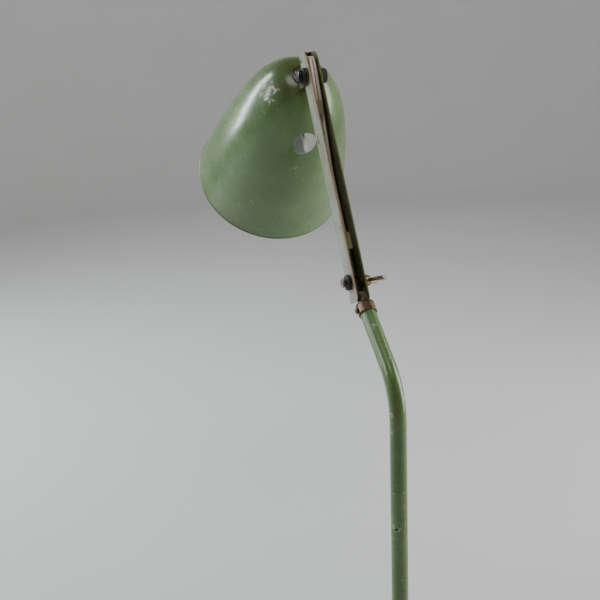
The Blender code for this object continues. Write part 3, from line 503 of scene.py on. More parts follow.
def turned(name, profile, matrix, finishes, steps, closed=True, warp=None, marks=None):
    """Revolves (radius, height) points about the frame's Z. Warp moves a point (radius, height, angle)."""
    vertices = []
    rings = []
    for radius, height in profile:
        if radius < 1e-7:
            vertices.append((0.0, 0.0, height))
            rings.append([len(vertices) - 1] * steps)
            continue
        start = len(vertices)
        for step in range(steps):
            angle = 2 * pi * step / steps
            at = warp(radius, height, angle) if warp else (radius, height)
            vertices.append((at[0] * cos(angle), at[0] * sin(angle), at[1]))
        rings.append(list(range(start, start + steps)))
    pairs = list(zip(rings, rings[1:]))
    if closed:
        pairs.append((rings[-1], rings[0]))
    faces = []
    face_marks = []
    for number, (low, high) in enumerate(pairs):
        for step in range(steps):
            after = (step + 1) % steps
            corners = [low[step], low[after], high[after], high[step]]
            face = list(dict.fromkeys(corners))
            if len(face) > 2:
                faces.append(face)
                face_marks.append(marks[number] if marks else 0)
    return mesh_piece(name, vertices, faces, finishes, matrix, face_marks if marks else None)


def swept(name, route, section, matrix, finishes, shift=0.0):
    """Carries a section of (across X, normal) points along a route of points in the YZ plane."""
    vertices = []
    for index, point in enumerate(route):
        before = Vector(route[max(index - 1, 0)])
        after = Vector(route[min(index + 1, len(route) - 1)])
        tangent = (after - before).normalized()
        side = Vector((tangent.y, -tangent.x))
        for across, out in section:
            spot = Vector(point) + side * out
            vertices.append((shift + across, spot.x, spot.y))
    return mesh_piece(name, vertices, rows_solid(len(route), len(section)), finishes, matrix)


def evenly(start, end, count):
    return [start + (end - start) * step / count for step in range(count + 1)]


def metres(points):
    return [(first * MM, second * MM) for first, second in points]


def circle(radius, count):
    return arc((0.0, 0.0), radius, 0.0, 360.0, count)[:-1]


def arc(centre, radius, start, end, count):
    angles = [radians(degrees) for degrees in evenly(start, end, count)]
    return [(centre[0] + radius * cos(t), centre[1] + radius * sin(t)) for t in angles]


def prism(name, points, low, high, matrix, finishes=("green_enamel",)):
    """A flat outline of (across Y, along Z) points, filled between two distances along X."""
    vertices = [(x, *point) for x in (low, high) for point in points]
    return mesh_piece(name, vertices, rows_solid(2, len(points)), finishes, matrix)


def bar(radius, start, end, matrix, count=48):
    """A round cutter or plate between two points of the frame."""
    run = Vector(end) - Vector(start)
    place = matrix @ Matrix.Translation(start) @ run.to_track_quat("Z", "Y").to_matrix().to_4x4()
    profile = [(0, 0), (radius, 0), (radius, run.length), (0, run.length)]
    return turned("bar", profile, place, ["green_enamel"], count, False)


def cross_bar(radius, reach, matrix, y=0.0, z=0.0):
    """A round cutter along X, as far to each side, with its radius in millimetres."""
    return bar(radius * MM, (-reach, y, z), (reach, y, z), matrix)


def box_tool(low, high, matrix):
    corners = [(low[1], low[2]), (high[1], low[2]), (high[1], high[2]), (low[1], high[2])]
    return prism("box", corners, low[0], high[0], matrix)


def join(*tools):
    return [("UNION", tool) for tool in tools]


def cut(*tools):
    return [("DIFFERENCE", tool) for tool in tools]


def carve(piece, steps, rounding=0.0, segments=2, sharp=32.0, angle=28.0):
    """Applies Booleans, then rounds the sharp edges that are left."""
    for operation, tool in steps:
        shaping = piece.modifiers.new("step", "BOOLEAN")
        shaping.operation = operation
        shaping.solver = "EXACT"
        shaping.object = tool
        bake(piece)
        bpy.data.objects.remove(tool)
    if rounding:
        soft = piece.modifiers.new("edge", "BEVEL")
        soft.width = rounding
        soft.segments = segments
        soft.limit_method = "ANGLE"
        soft.angle_limit = radians(angle)
        soft.use_clamp_overlap = True
        soft.harden_normals = False
        bake(piece)
    piece.data.shade_smooth()
    piece.data.set_sharp_from_angle(angle=radians(sharp))
    return piece


def bake(piece):
    """Turns the piece's modifiers into its mesh, and drops slivers."""
    bpy.context.view_layer.update()
    done = piece.evaluated_get(bpy.context.evaluated_depsgraph_get())
    mesh = bpy.data.meshes.new_from_object(done)
    piece.modifiers.clear()
    shape = bmesh.new()
    shape.from_mesh(mesh)
    bmesh.ops.remove_doubles(shape, verts=shape.verts, dist=0.004 * MM)
    bmesh.ops.dissolve_degenerate(shape, edges=shape.edges, dist=0.002 * MM)
    shape.to_mesh(mesh)
    shape.free()
    piece.data = mesh


def repaint(piece, finish):
    piece.data.materials.clear()
    piece.data.materials.append(FINISHES[finish])


def fit(piece, body, node):
    """Rides on the body and stands for its CAD node."""
    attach(piece, body)
    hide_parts(node)


def lathe(name, node, body, matrix, profile, steps, closed=True, warp=None, tools=(), finish=None):
    """Turns a profile in millimetres, cuts the tools out of it and fits it for its CAD node."""
    finish = finish or SLOT_OF[node]
    piece = turned(name, fillet(profile, closed), matrix, [finish], steps, closed, warp)
    if tools:
        carve(piece, cut(*tools))
    fit(piece, body, node)


def across(matrix):
    """The frame turned so that its Z runs along the pivot, to the right."""
    return matrix @ turn(90, "Y")


def knurled(count, depth, low, high):
    """A warp that cuts straight knurling between two heights."""
    def warp(radius, height, angle):
        inside = low < height < high
        return (radius - (depth * abs(sin(count * angle / 2)) if inside else 0.0), height)
    return warp


def threaded(pitch, depth, low, high):
    """A warp that rolls a round thread between two heights."""
    def warp(radius, height, angle):
        fade = min(1.0, max(0.0, min(height - low, high - height) / (pitch * 0.4)))
        wave = 0.5 - 0.5 * cos(2 * pi * height / pitch - angle)
        return (radius - depth * wave * fade, height)
    return warp


# Base
def dome_height(radius):
    """Outer height of the base cover at a radius, in millimetres."""
    flat_r, outer_r, top, edge = 22.0, 96.0, 34.0, 27.8
    if radius <= flat_r:
        return top
    return edge + (top - edge) * cos((radius - flat_r) / (outer_r - flat_r) * pi / 2)


def build_base():
    pad_r = extent("base_pad")[1].x / MM
    pad_top = extent("base_pad")[1].z / MM
    profile = [(0, 0), (pad_r, 0, 0.7), (pad_r, pad_top, 0.5), (0, pad_top)]
    lathe("felt_pad", "base_pad", "base", HOME, profile, 160, False)

    radii = evenly(6.3, 94.0, 40)
    outer = [(radius, dome_height(radius)) for radius in radii]
    corner_z = dome_height(96.0)
    outer += [(96.0, corner_z, 1.0), (100.0, corner_z - 3.6, 3.0), (100.0, 1.0, 0.4), (98.8, 1.0, 0.4)]
    inner = [(98.8, corner_z - 4.4, 2.5), (95.2, corner_z - 1.2, 0.8)]
    inner += [(radius, dome_height(radius) - 1.2) for radius in reversed(evenly(6.3, 93.5, 20))]
    cover = turned("base_cover_enamel", fillet(outer + inner, True, 6), HOME, ["green_enamel"], 192)
    gland_z = (extent("cable_gland")[0].z + extent("cable_gland")[1].z) / 2
    carve(cover, cut(bar(5.0 * MM, (0, -0.11, gland_z), (0, -0.09, gland_z), HOME)))
    fit(cover, "base", "base_cover")

    back = Matrix.Translation((0.0, 0.0, gland_z)) @ turn(90, "X")
    profile = [(3.4, 107, 0.5), (5, 107, 0.5), (5.4, 105.9, 0.3), (5, 105.5, 0.2), (5.8, 104.9, 0.4)]
    profile += [(6.2, 104.2, 0.3), (5.7, 103.7, 0.2), (6.5, 103, 0.4), (6.9, 101.6, 0.5), (7, 100.3, 0.2)]
    profile += [(4.6, 100.3), (4.6, 97.9), (6.4, 97.9, 0.3), (6.4, 95.4, 0.3), (3.4, 95.4)]
    lathe("gland", "cable_gland", "base", back, profile, 64)

    foot = extent("tube_socket")[0].z / MM
    seat = extent("lower_tube")[0].z / MM - 0.3
    profile = [(7.35, 74, 0.2), (9.9, 74, 0.5), (10.9, 73, 0.4), (10.9, 68.6, 0.2), (10.6, 68.2, 0.2)]
    profile += [(10.9, 67.8, 0.2), (10.9, 43.6, 1.4), (13, 39.8, 1.4), (19, 37.7, 0.8), (20, 36.5, 0.5)]
    profile += [(20, foot, 0.2), (6.3, foot), (6.3, seat), (7.3, seat)]
    screw_z = JOINTS["thumb_screw_turn"]["pos_m"][2]
    hole = bar(2.3 * MM, (0, -0.006, screw_z), (0, -0.02, screw_z), HOME)
    lathe("socket", "tube_socket", "base", HOME, profile, 128, tools=[hole])

    outwards = Matrix.Translation((0.0, 0.0, screw_z)) @ turn(90, "X")
    profile = [(0, 20.1), (2.6, 20.1, 0.2), (3, 20.3, 0.2), (5.2, 20.3, 0.5), (6.2, 19.4, 0.3)]
    profile += [(6.2, z) for z in evenly(19.2, 14.6, 8)]
    profile += [(6.2, 14.4, 0.3), (5.3, 13.3, 0.4), (2.4, 13.3, 0.3), (2, 12.9, 0.1)]
    for ridge in range(6):
        profile += [(2.0, 12.4 - 0.8 * ridge), (1.65, 12.0 - 0.8 * ridge)]
    profile += [(1.9, 7.5, 0.2), (0, 7.3)]
    warp = knurled(36, 0.3 * MM, 14.5 * MM, 19.3 * MM)
    lathe("thumb_screw", "socket_thumb_screw", "thumb_screw", outwards, profile, 144, False, warp)


# Stem
def tube_route(foot, stop_short):
    """Centre line of the tube as (across, along) points: straight, one round bend, straight."""
    bend_r = 53.0 * MM
    angle = acos(Vector(JOINTS["knuckle_swivel"]["axis"]).z)
    start_z = P_END.z - bend_r * sin(angle) - (P_END.y - bend_r * (1 - cos(angle))) / tan(angle)
    points = [(0.0, z) for z in evenly(foot, start_z, 40)]
    points += [(bend_r * (1 - cos(t)), start_z + bend_r * sin(t)) for t in evenly(0.0, angle, 36)[1:]]
    last = TUBE_END @ Vector((0.0, 0.0, -stop_short))
    begin = Vector(points[-1])
    for share in evenly(0.1, 1.0, 9):
        spot = begin.lerp(Vector((last.y, last.z)), share)
        points.append((spot.x, spot.y))
    return points


def build_stem():
    foot = extent("lower_tube")[0].z
    route = tube_route(foot, 1.5 * MM)
    bore_route = tube_route(foot - MM, 1.0 * MM)
    outer = swept("tube", route, circle(TUBE_R, 56), HOME, ["tube_enamel"])
    inner = swept("tube_bore", bore_route, circle(TUBE_R - MM, 40), HOME, ["tube_enamel"])
    carve(outer, cut(inner), 0.25 * MM, 2, 40.0, 50.0)
    fit(outer, "stem", "lower_tube")

    profile = [(7.3, -0.5, 0.2), (8, -0.5, 0.35), (8.3, -1.2, 0.4), (8.22, -3, 0.6)]
    profile += [(8.24, -7.6, 0.6), (8.3, -8.8, 0.4), (8.1, -9.5, 0.3), (7.3, -9.5, 0.1)]
    hole = bar(1.7 * MM, (-0.006, 0, -0.005), (-0.012, 0, -0.005), TUBE_END)
    lathe("collar", "tube_collar", "stem", TUBE_END, profile, 96, tools=[hole])

    left = TUBE_END @ Matrix.Translation((0, 0, -5.0 * MM)) @ turn(-90, "Y")
    profile = [(0, 10), (2.1, 10, 0.4), (2.6, 9.5, 0.3), (2.6, 8.6, 0.1), (1.35, 8.6)]
    profile += [(1.35, 7.3), (0, 7.3)]
    slot = box_tool((-0.0004, -0.004, 0.0093), (0.0004, 0.004, 0.013), left)
    lathe("collar_screw_head", "collar_screw", "stem", left, profile, 48, False, tools=[slot])


def build_knuckle():
    profile = [(0, 1), (7.7, 1, 0.4), (8.3, 0.5, 0.3), (8.3, 0, 0.1), (5.7, 0)]
    profile += [(5.7, -16, 0.3), (0, -16)]
    body = turned("knuckle_body", fillet(profile, False), TUBE_END, ["browned_steel"], 72, False)
    reach = (P_LOW - P_END).length / MM
    shape = [(-3.2, 0.5), (-3.2, reach - 8.0)] + arc((0.0, reach), 4.9, 190, -10, 40)
    shape += [(1.6, reach - 8.0), (1.6, 0.5)]
    tongue = prism("tongue", metres(shape), -2.45 * MM, 2.45 * MM, TUBE_END)
    facing = TUBE_END @ turn(-90, "Z")
    shape = [(2.4, 0.5)] + arc((0.0, 8.6), 2.4, 0, 180, 30) + [(-2.4, 0.5)]
    boss = prism("boss", metres(shape), 2.8 * MM, 6.0 * MM, facing)
    slot = box_tool((-0.0035, 0.0021, -0.025), (0.0035, 0.0121, 0.015), TUBE_END)
    eye = cross_bar(PIVOT_BORE_R, 0.009, TUBE_END, z=reach * MM)
    carve(body, join(tongue, boss) + cut(slot, eye), 0.2 * MM)
    repaint(body, "knuckle_steel")
    fit(body, "knuckle", "knuckle")


# Arm
def flange_shape():
    """Side view of the channel's flanges in the arm's frame: rounded foot, nose leaning to the web."""
    depth = CHANNEL_HALF_D
    top = CHANNEL_TOP
    shape = arc((4.0 * MM - depth, -16.0 * MM), 4.0 * MM, 180, 270, 10)
    shape += arc((depth - 4.0 * MM, -13.5 * MM), 4.0 * MM, 270, 360, 10)
    tip = 3.0 * MM
    shape += arc((depth - tip, top - tip), tip, 0, 90, 10)
    nose_z = ARM_LENGTH + 10.7 * MM
    rise = top - nose_z
    run = 2 * depth - tip
    nose = arc((0.0, 0.0), 1.0, 90, 180, 32)[1:]
    return shape + [(depth - tip + run * y, nose_z + rise * z) for y, z in nose]


def nose_cap():
    """Side view of the sheet that closes the nose over the flex."""
    tip = 3.0 * MM
    centre = Vector((CHANNEL_HALF_D - tip, ARM_LENGTH + 26.0 * MM))
    knee = centre + Vector((-2.4 * MM, 2.85 * MM))
    lip = centre + Vector((-4.6 * MM, 2.5 * MM))
    down = Vector((0.1 * MM, -SHEET))
    outside = arc(tuple(centre), tip, 5, 90, 12) + [tuple(knee), tuple(lip)]
    return outside + [tuple(lip + down), tuple(knee + down)] + arc(tuple(centre), tip - SHEET, 90, 5, 12)


def build_channel():
    """Folded from one sheet: round bends at the web, two tongues folded in across the open side."""
    wide = CHANNEL_HALF_W
    deep = CHANNEL_HALF_D
    low = -25.0 * MM
    high = ARM_LENGTH + 40.0 * MM
    bend = 1.9 * MM
    outside = [(-wide, -deep)] + arc((-wide + bend, deep - bend), bend, 180, 90, 7)
    outside += arc((wide - bend, deep - bend), bend, 90, 0, 7) + [(wide, -deep)]
    tight = bend - SHEET
    inside = [(wide - SHEET, -deep)] + arc((wide - bend, deep - bend), tight, 0, 90, 5)
    inside += arc((-wide + bend, deep - bend), tight, 90, 180, 5) + [(-wide + SHEET, -deep)]
    section = outside + inside
    vertices = [(x, y, z) for z in (low, high) for x, y in section]
    channel = mesh_piece("channel", vertices, rows_solid(2, len(section)), ["arm_enamel"], LOWER)
    side = prism("side_view", flange_shape(), -0.02, 0.02, LOWER)
    gap = wide - bend * 0.55
    open_webs = [
        box_tool((-gap, deep - 2.4 * MM, start), (gap, deep + 0.01, end), LOWER)
        for start, end in ((-0.05, 0.008), (ARM_LENGTH + 0.009, ARM_LENGTH + 0.06))
    ]
    pivots = [cross_bar(PIVOT_BORE_R, 0.02, LOWER, z=z) for z in (0.0, ARM_LENGTH)]
    tie = cross_bar(RIVET_BORE_R, 0.02, LOWER, 0.0066, ARM_LENGTH + 0.02)
    tongue_low = tongue_tool(28.5 * MM, 44.5 * MM)
    tongue_high = tongue_tool(ARM_LENGTH - 44.6 * MM, ARM_LENGTH - 29.6 * MM)
    cap_half = wide - 0.06 * MM
    cap = prism("nose_cap", nose_cap(), -cap_half, cap_half, LOWER, ("arm_enamel",))
    steps = [("INTERSECT", side)] + cut(*open_webs, *pivots, tie) + join(tongue_low, tongue_high, cap)
    carve(channel, steps, 0.28 * MM, 2, 32.0, 40.0)
    fit(channel, "arm", "arm_channel")


def tongue_tool(first, last):
    """A tongue folded in from the left flange, behind its open edge, with rounded free corners."""
    deep = CHANNEL_HALF_D - 3.5 * MM
    left = 0.05 * MM - CHANNEL_HALF_W
    reach = left + 6.8 * MM
    soft = 1.0 * MM
    shape = [(left, first)]
    shape += arc((reach - soft, first + soft), soft, 270, 360, 6)
    shape += arc((reach - soft, last - soft), soft, 0, 90, 6)
    shape += [(left, last)]
    vertices = [(x, y, z) for y in (-deep, -deep + SHEET) for x, z in shape]
    return mesh_piece("tongue", vertices, rows_solid(2, len(shape)), ["arm_enamel"], LOWER)


def washer(name, node, matrix, body, soft):
    low, high = extent(node, matrix)
    start, end, outer, bore = low.x / MM, high.x / MM, high.y / MM, PIVOT_BORE_R
    profile = [(outer, end, soft), (outer, start, soft), (bore, start, 0.1), (bore, end, 0.1)]
    lathe(name, node, body, across(matrix), profile, 72)


def bolt(name, node, matrix, body, head_r, thick, soft, finish):
    """Round head with a screwdriver slot, plain shank, rolled thread at the end."""
    low, high = extent(node, matrix)
    head = low.x / MM
    end = high.x / MM
    profile = [(0, end), (1.9, end, 0.3), (2.5, end - 0.6)]
    profile += [(2.5, z) for z in evenly(end - 0.8, end - 6, 42)]
    under = head + thick
    profile += [(2.5, under, 0.1), (head_r - 0.1, under, 0.3), (head_r, under - 0.3, 0.1)]
    profile += [(head_r, head + soft, 0.9 * soft), (head_r - soft, head + 0.05, 0.5 * soft), (0, head)]
    warp = threaded(0.8 * MM, 0.3 * MM, (end - 6.0) * MM, end * MM)
    leaning = across(matrix) @ Matrix.Rotation(0.5, 4, "Z")
    slot = box_tool((-0.0005, -0.01, (head - 1.0) * MM), (0.0005, 0.01, (head + 0.7) * MM), leaning)
    lathe(name, node, body, across(matrix), profile, 64, False, warp, [slot], finish)


def build_lower_joint():
    bolt("lower_bolt", "lower_pivot_bolt", LOWER, "arm", 4.4, 1.4, 0.5, "worn_steel")
    washer("black_washer_lower", "lower_black_washer", LOWER, "arm", 0.6)
    washer("steel_washer_lower", "lower_steel_washer", LOWER, "arm", 0.2)
    washer("fibre_washer_left", "friction_washer_left", LOWER, "arm", 0.2)
    washer("fibre_washer_right", "friction_washer_right", LOWER, "arm", 0.2)


def build_wing_nut():
    angle = radians(110.0)
    matrix = upright_frame(P_LOW, (0.0, sin(angle), cos(angle)))
    base = CHANNEL_HALF_W / MM + 1.5
    top = base + 5.8
    profile = [(3.8, top, 0.5), (4.4, top - 0.7, 0.6), (5.6, base + 1.6, 0.7), (5.8, base + 0.9, 0.3)]
    profile += [(5.8, base, 0.3), (PIVOT_BORE_R, base, 0.2), (PIVOT_BORE_R, top, 0.3)]
    hub = turned("wing_nut_body", fillet(profile), across(matrix), ["brass"], 80)
    wings = []
    for sign in (-1.0, 1.0):
        root = [(3.3, base + 1.6), (3.3, top - 0.6)]
        ear = arc((10.0, base + 11.2), 5.4, 140, -50, 26)
        points = [(sign * out * MM, along * MM) for out, along in root + ear]
        middle = Vector((sign * 9.4 * MM, (base + 9.4) * MM))
        vertices = []
        for share in (-1.0, -0.72, 0.72, 1.0):
            pull = 0.93 if abs(share) == 1.0 else 1.0
            for out, along in points:
                spot = middle + (Vector((out, along)) - middle) * pull
                vertices.append((spot.y, share * 1.6 * MM, spot.x))
        wings.append(mesh_piece("wing", vertices, rows_solid(4, len(points)), ["brass"], matrix))
    carve(hub, join(*wings), 0.35 * MM, 3, 50.0, 30.0)
    fit(hub, "wing_nut", "wing_nut")


# Flex
def round_route(corners, radius):
    """Joins (across, along) corners by straight runs with round bends, in metres."""
    points = [Vector(corners[0])]
    for before, corner, after in zip(corners, corners[1:], corners[2:]):
        corner = Vector(corner)
        entry = corner + (Vector(before) - corner).normalized() * radius
        leave = corner + (Vector(after) - corner).normalized() * radius
        for share in evenly(0.0, 1.0, 14):
            points.append(entry.lerp(corner, share).lerp(corner.lerp(leave, share), share))
    points.append(Vector(corners[-1]))
    return points


def dense(points):
    """Adds points so that they lie about 1.5 mm apart."""
    filled = [points[0]]
    for before, after in zip(points, points[1:]):
        parts = max(1, round((after - before).length / (1.5 * MM)))
        filled += [before.lerp(after, step / parts) for step in range(1, parts + 1)]
    return filled


def to_arm(matrix, point):
    """A (across, along) point of another frame, in the arm's frame."""
    spot = LOWER.inverted() @ matrix @ Vector((0.0, *point))
    return Vector((spot.y, spot.z))


def build_flex():
    """Two cores side by side, in three stretches that meet on the arm, bending over the two pivots."""
    depth = 7.7 * MM
    core_r = 1.5 * MM
    core_x = 1.75 * MM
    arm_start = Vector((depth, -3.0 * MM))
    meeting = TUBE_END.inverted() @ LOWER @ Vector((0.0, *arm_start))
    corners = [(3.9 * MM, -15.5 * MM), (3.9 * MM, 3.0 * MM), (meeting.y, meeting.z)]
    knuckle = [to_arm(TUBE_END, point) for point in round_route(corners, 5.0 * MM)]
    mouth = to_arm(UPPER, (POLE_OFFSET, 9.4 * MM))
    top_y = -7.7 * MM
    top_z = mouth.y - 0.6 * MM
    end = to_arm(UPPER, (POLE_OFFSET, POLE_REACH + 13.0 * MM))
    low_cut = 30.0 * MM
    rise = Vector((depth, 110.0 * MM))
    lip = Vector((-3.6 * MM, 179.0 * MM))
    parting = rise.lerp(lip, 0.8)
    foot = knuckle[:-1] + [arm_start, Vector((depth, low_cut))]
    middle = round_route([(depth, low_cut), rise, parting], 8.0 * MM)
    head = round_route([parting, lip, (top_y, 210.0 * MM), (top_y, top_z), mouth], 8.0 * MM) + [end]
    section = circle(core_r, 20)
    for side, sign in (("left", -1.0), ("right", 1.0)):
        shift = sign * core_x
        low = swept("flex_foot_" + side, dense(foot), section, LOWER, ["flex"], shift)
        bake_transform(low)
        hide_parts("knuckle_flex_" + side)
        body = swept("flex_arm_" + side, dense(middle), section, LOWER, ["flex"], shift)
        fit(body, "arm", "arm_flex_" + side)
        high = swept("flex_head_" + side, dense(head), section, LOWER, ["flex"], shift)
        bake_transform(high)
        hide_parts("head_flex_" + side)


# Head
SHADE_R = 83.0
SHADE_LENGTH = 178.0
SHADE_POWER = 2.9
NECK_R = 4.8


def shade_height(radius):
    """Distance of the shade's outer surface from its pole, both in millimetres."""
    return SHADE_LENGTH * (radius / SHADE_R) ** SHADE_POWER


def shade_warp(radius, height, angle):
    """Slight unevenness of a spun shade, only inwards."""
    spot = Vector((cos(angle) * 2.2, sin(angle) * 2.2, height * 26.0))
    wave = noise.noise(spot) * 0.5 + 0.5
    fine = noise.noise(spot * 3.1 + Vector((7.0, 3.0, 1.0))) * 0.5 + 0.5
    return (radius * (1.0 - 0.0022 * wave - 0.0009 * fine), height)


def build_shade():
    count = 78
    radii = [NECK_R + (SHADE_R - NECK_R) * (step / count) ** 0.86 for step in range(count + 1)]
    outer = [(radius, shade_height(radius)) for radius in radii]
    inner = []
    for radius, height in outer:
        lean = atan2(1.0, SHADE_POWER * height / radius) if radius > NECK_R else pi / 2
        inner.append((radius - cos(lean), height + sin(lean)))
    inner[0] = (NECK_R, 1.0)
    rim = arc((SHADE_R - 0.2, SHADE_LENGTH - 0.2), 1.0, 165, -80, 14)
    profile = metres(rim + outer[-2::-1] + inner[:-1])
    marks = [1] * 6 + [0] * (len(rim) - 6 + len(outer) - 1) + [1] * (len(inner) - 1)
    finishes = ["green_enamel", "white_enamel"]
    shade = turned("shade_enamel", profile, POLE, finishes, 176, True, shade_warp, marks)
    hole_at = KEY_HEIGHT / MM
    radius = SHADE_R * (hole_at / SHADE_LENGTH) ** (1 / SHADE_POWER)
    slope = atan2(radius / (SHADE_POWER * hole_at), 1.0)
    normal = Vector((0.0, cos(slope), -sin(slope)))
    centre = Vector((0.0, radius, hole_at)) * MM
    hole = bar(12.3 * MM, centre - normal * 0.015, centre + normal * 0.015, POLE, 96)
    hole.data.materials.append(FINISHES["white_enamel"])
    for face in hole.data.polygons:
        face.material_index = 1
    rivet = bar(RIVET_BORE_R * MM, (0, 0.0135, -0.005), (0, 0.0135, 0.005), POLE)
    carve(shade, cut(hole, rivet), sharp=30.0)
    fit(shade, "head", "shade")


def build_yoke():
    plate_low = POLE_REACH - 1.6 * MM
    plate_high = POLE_REACH - 0.3 * MM
    ear_in = CHANNEL_HALF_W + 0.3 * MM
    ear_out = ear_in + 1.4 * MM
    pad = bar(11.0 * MM, (0, POLE_OFFSET, plate_low), (0, POLE_OFFSET, plate_high), UPPER, 72)
    pad.name = "yoke"
    run = box_tool((-ear_out, -0.018, plate_low), (ear_out, -0.0025, plate_high), UPPER)
    top = plate_high - 0.1 * MM
    shape = arc((0.0, 0.0), 8.3 * MM, 175, 385, 44) + [(-2.5 * MM, top), (-13.0 * MM, top)]
    left = prism("ear", shape, -ear_out, -ear_in, UPPER)
    right = prism("ear", shape, ear_in, ear_out, UPPER)
    pivot = cross_bar(PIVOT_BORE_R, 0.012, UPPER)
    neck = bar(NECK_R * MM, (0, POLE_OFFSET, 0.015), (0, POLE_OFFSET, 0.03), UPPER)
    rivet_y = POLE_OFFSET + 13.5 * MM
    rivet = bar(RIVET_BORE_R * MM, (0, rivet_y, 0.015), (0, rivet_y, 0.03), UPPER)
    carve(pad, join(run, left, right) + cut(pivot, neck, rivet), 0.25 * MM)
    # The yoke's darker olive enamel is a painted shade.
    repaint(pad, "yoke_enamel")
    fit(pad, "head", "head_yoke")

    place = UPPER @ Matrix.Translation((0.0, rivet_y, 0.0))
    low = extent("yoke_rivet", UPPER)[0].z / MM
    high = extent("yoke_rivet", UPPER)[1].z / MM
    profile = [(0, high), (2, high, 0.5), (2.6, high - 0.5, 0.3), (2.6, high - 1, 0.1), (1.3, high - 1)]
    profile += [(1.3, low + 1.5), (3, low + 1.5, 0.2), (2.8, low + 0.9, 0.4), (1.9, low + 0.25, 0.6)]
    profile.append((0, low))
    lathe("rivet", "yoke_rivet", "head", place, profile, 40, False)


def build_upper_joint():
    bolt("upper_bolt", "upper_pivot_bolt", UPPER, "head", 6.3, 4.0, 1.3, "blued_steel")
    washer("black_washer_upper", "upper_washer_left", UPPER, "head", 0.6)
    washer("steel_washer_upper", "upper_washer_right", UPPER, "head", 0.25)
    cap = extent("upper_cap_nut", UPPER)[0].x / MM
    profile = [(0, cap + 5), (4.2, cap + 4.9, 1), (6.4, cap + 4.3, 0.8), (6.9, cap + 3.5, 0.3)]
    profile += [(6.9, cap + z) for z in evenly(3.3, 0.9, 6)]
    profile += [(6.9, cap + 0.6, 0.3), (6.6, cap, 0.3), (2.85, cap, 0.2), (2.85, cap + 3.6), (0, cap + 3.6)]
    warp = knurled(28, 0.3 * MM, (cap + 0.8) * MM, (cap + 3.4) * MM)
    lathe("cap_nut", "upper_cap_nut", "head", across(UPPER), profile, 168, False, warp)


def build_neck():
    profile = [(4.45, 12, 0.2), (4.45, -1.9, 0.1), (8, -1.9, 0.3), (8, -3.5, 0.5), (5.05, -4.5, 0.5)]
    profile += [(4.45, -5.3, 0.5), (4.45, -12.8, 0.5), (3.55, -12.8, 0.3), (3.55, 12, 0.2)]
    lathe("bush", "neck_bush", "head", POLE, profile, 72)
    low = extent("neck_nut", POLE)[0].z
    high = extent("neck_nut", POLE)[1].z
    vertices = [(x, y, z) for z in (low, high) for x, y in circle(8.2 * MM, 6)]
    nut = mesh_piece("nut", vertices, rows_solid(2, 6), ["brass"], POLE)
    carve(nut, cut(bar(4.8 * MM, (0, 0, low - MM), (0, 0, high + MM), POLE)), 0.25 * MM)
    fit(nut, "head", "neck_nut")


def build_lampholder():
    profile = [(19.5, 33, 0.2), (19.5, 31.2, 0.3), (19.1, 30.7, 0.2), (19.5, 30.2, 0.3), (19.5, 21, 2)]
    profile += [(17.5, 15.5, 2), (11, 9, 2), (8.5, 4.9, 0.6), (4.8, 4.9, 0.1), (4.8, 6.9, 0.1)]
    profile += [(9, 10.4, 1), (16, 16.2, 1), (18.3, 21.4, 1), (18.3, 33)]
    lathe("holder_cap", "lampholder_cap", "head", POLE, profile, 96)

    profile = [(18, 66, 0.4), (18, 63)] + [(18, z) for z in evenly(62.8, 52.4, 52)]
    profile += [(18, 52), (19.5, 52, 0.4), (19.5, 48.6, 0.3), (19.1, 48.1, 0.2), (19.5, 47.6, 0.3)]
    profile += [(19.5, 33.3, 0.2), (18.3, 33.3), (18.3, 50), (15.4, 52, 0.3), (15.4, 66, 0.3)]
    key_at = 42.8 * MM
    hole = bar(2.4 * MM, (0, 0.01, key_at), (0, 0.03, key_at), POLE)
    lathe("holder_body", "lampholder_body", "head", POLE, profile, 96, True, outer_thread, [hole])

    profile = [(23, 60, 0.8), (18.3, 60, 0.3), (18.3, 54, 0.3), (21.8, 54, 0.3), (23, 55, 0.3)]
    profile += [(23, z) for z in evenly(55.2, 59, 6)]
    warp = knurled(40, 0.5 * MM, 55.1 * MM, 59.1 * MM)
    lathe("shade_ring", "holder_ring", "head", POLE, profile, 240, True, warp)

    profile = [(0, 38), (6, 38, 0.3), (6.4, 37.2, 0.3), (9.6, 37.2, 0.3), (10, 38, 0.3)]
    profile += [(18, 38, 0.5), (18, 25, 0.5), (0, 25)]
    lathe("ceramic_insert", "holder_insert", "head", POLE, profile, 72, False)
    profile = [(0, 41.6), (2.2, 41.6, 0.8), (4.2, 40.4, 1), (5, 38.3, 0.1), (0, 38.3)]
    lathe("contact_spring", "centre_contact", "head", POLE, profile, 40, False)
    heights = evenly(46.5, 65.0, 90)
    profile = [(15, z) for z in heights] + [(14.75, z) for z in reversed(heights)]
    warp = threaded(3.5 * MM, 0.4 * MM, 48.0 * MM, 64.0 * MM)
    lathe("threaded_shell", "screw_shell", "head", POLE, profile, 72, True, warp)

    profile = fillet([(0, 15.6), (1.7, 15.6, 0.3), (1.7, 46.0, 0.1), (0, 46.0)], False)
    key = turned("key", profile, KEY, ["ceramic"], 40, False)
    blade = [(-0.003, 0.043), (0.003, 0.043)] + arc((0.0, 0.0555), 0.003, 0, 180, 30)
    tab = prism("tab", blade, -1.1 * MM, 1.1 * MM, KEY)
    carve(key, join(tab), 0.35 * MM, 3)
    fit(key, "switch_key", "switch_key")


def outer_thread(radius, height, angle):
    """The holder's outside thread, which the ring screws on."""
    if radius > 18.1 * MM or radius < 17.0 * MM:
        return (radius, height)
    return threaded(2.0 * MM, 0.35 * MM, 52.2 * MM, 63.0 * MM)(radius, height, angle)


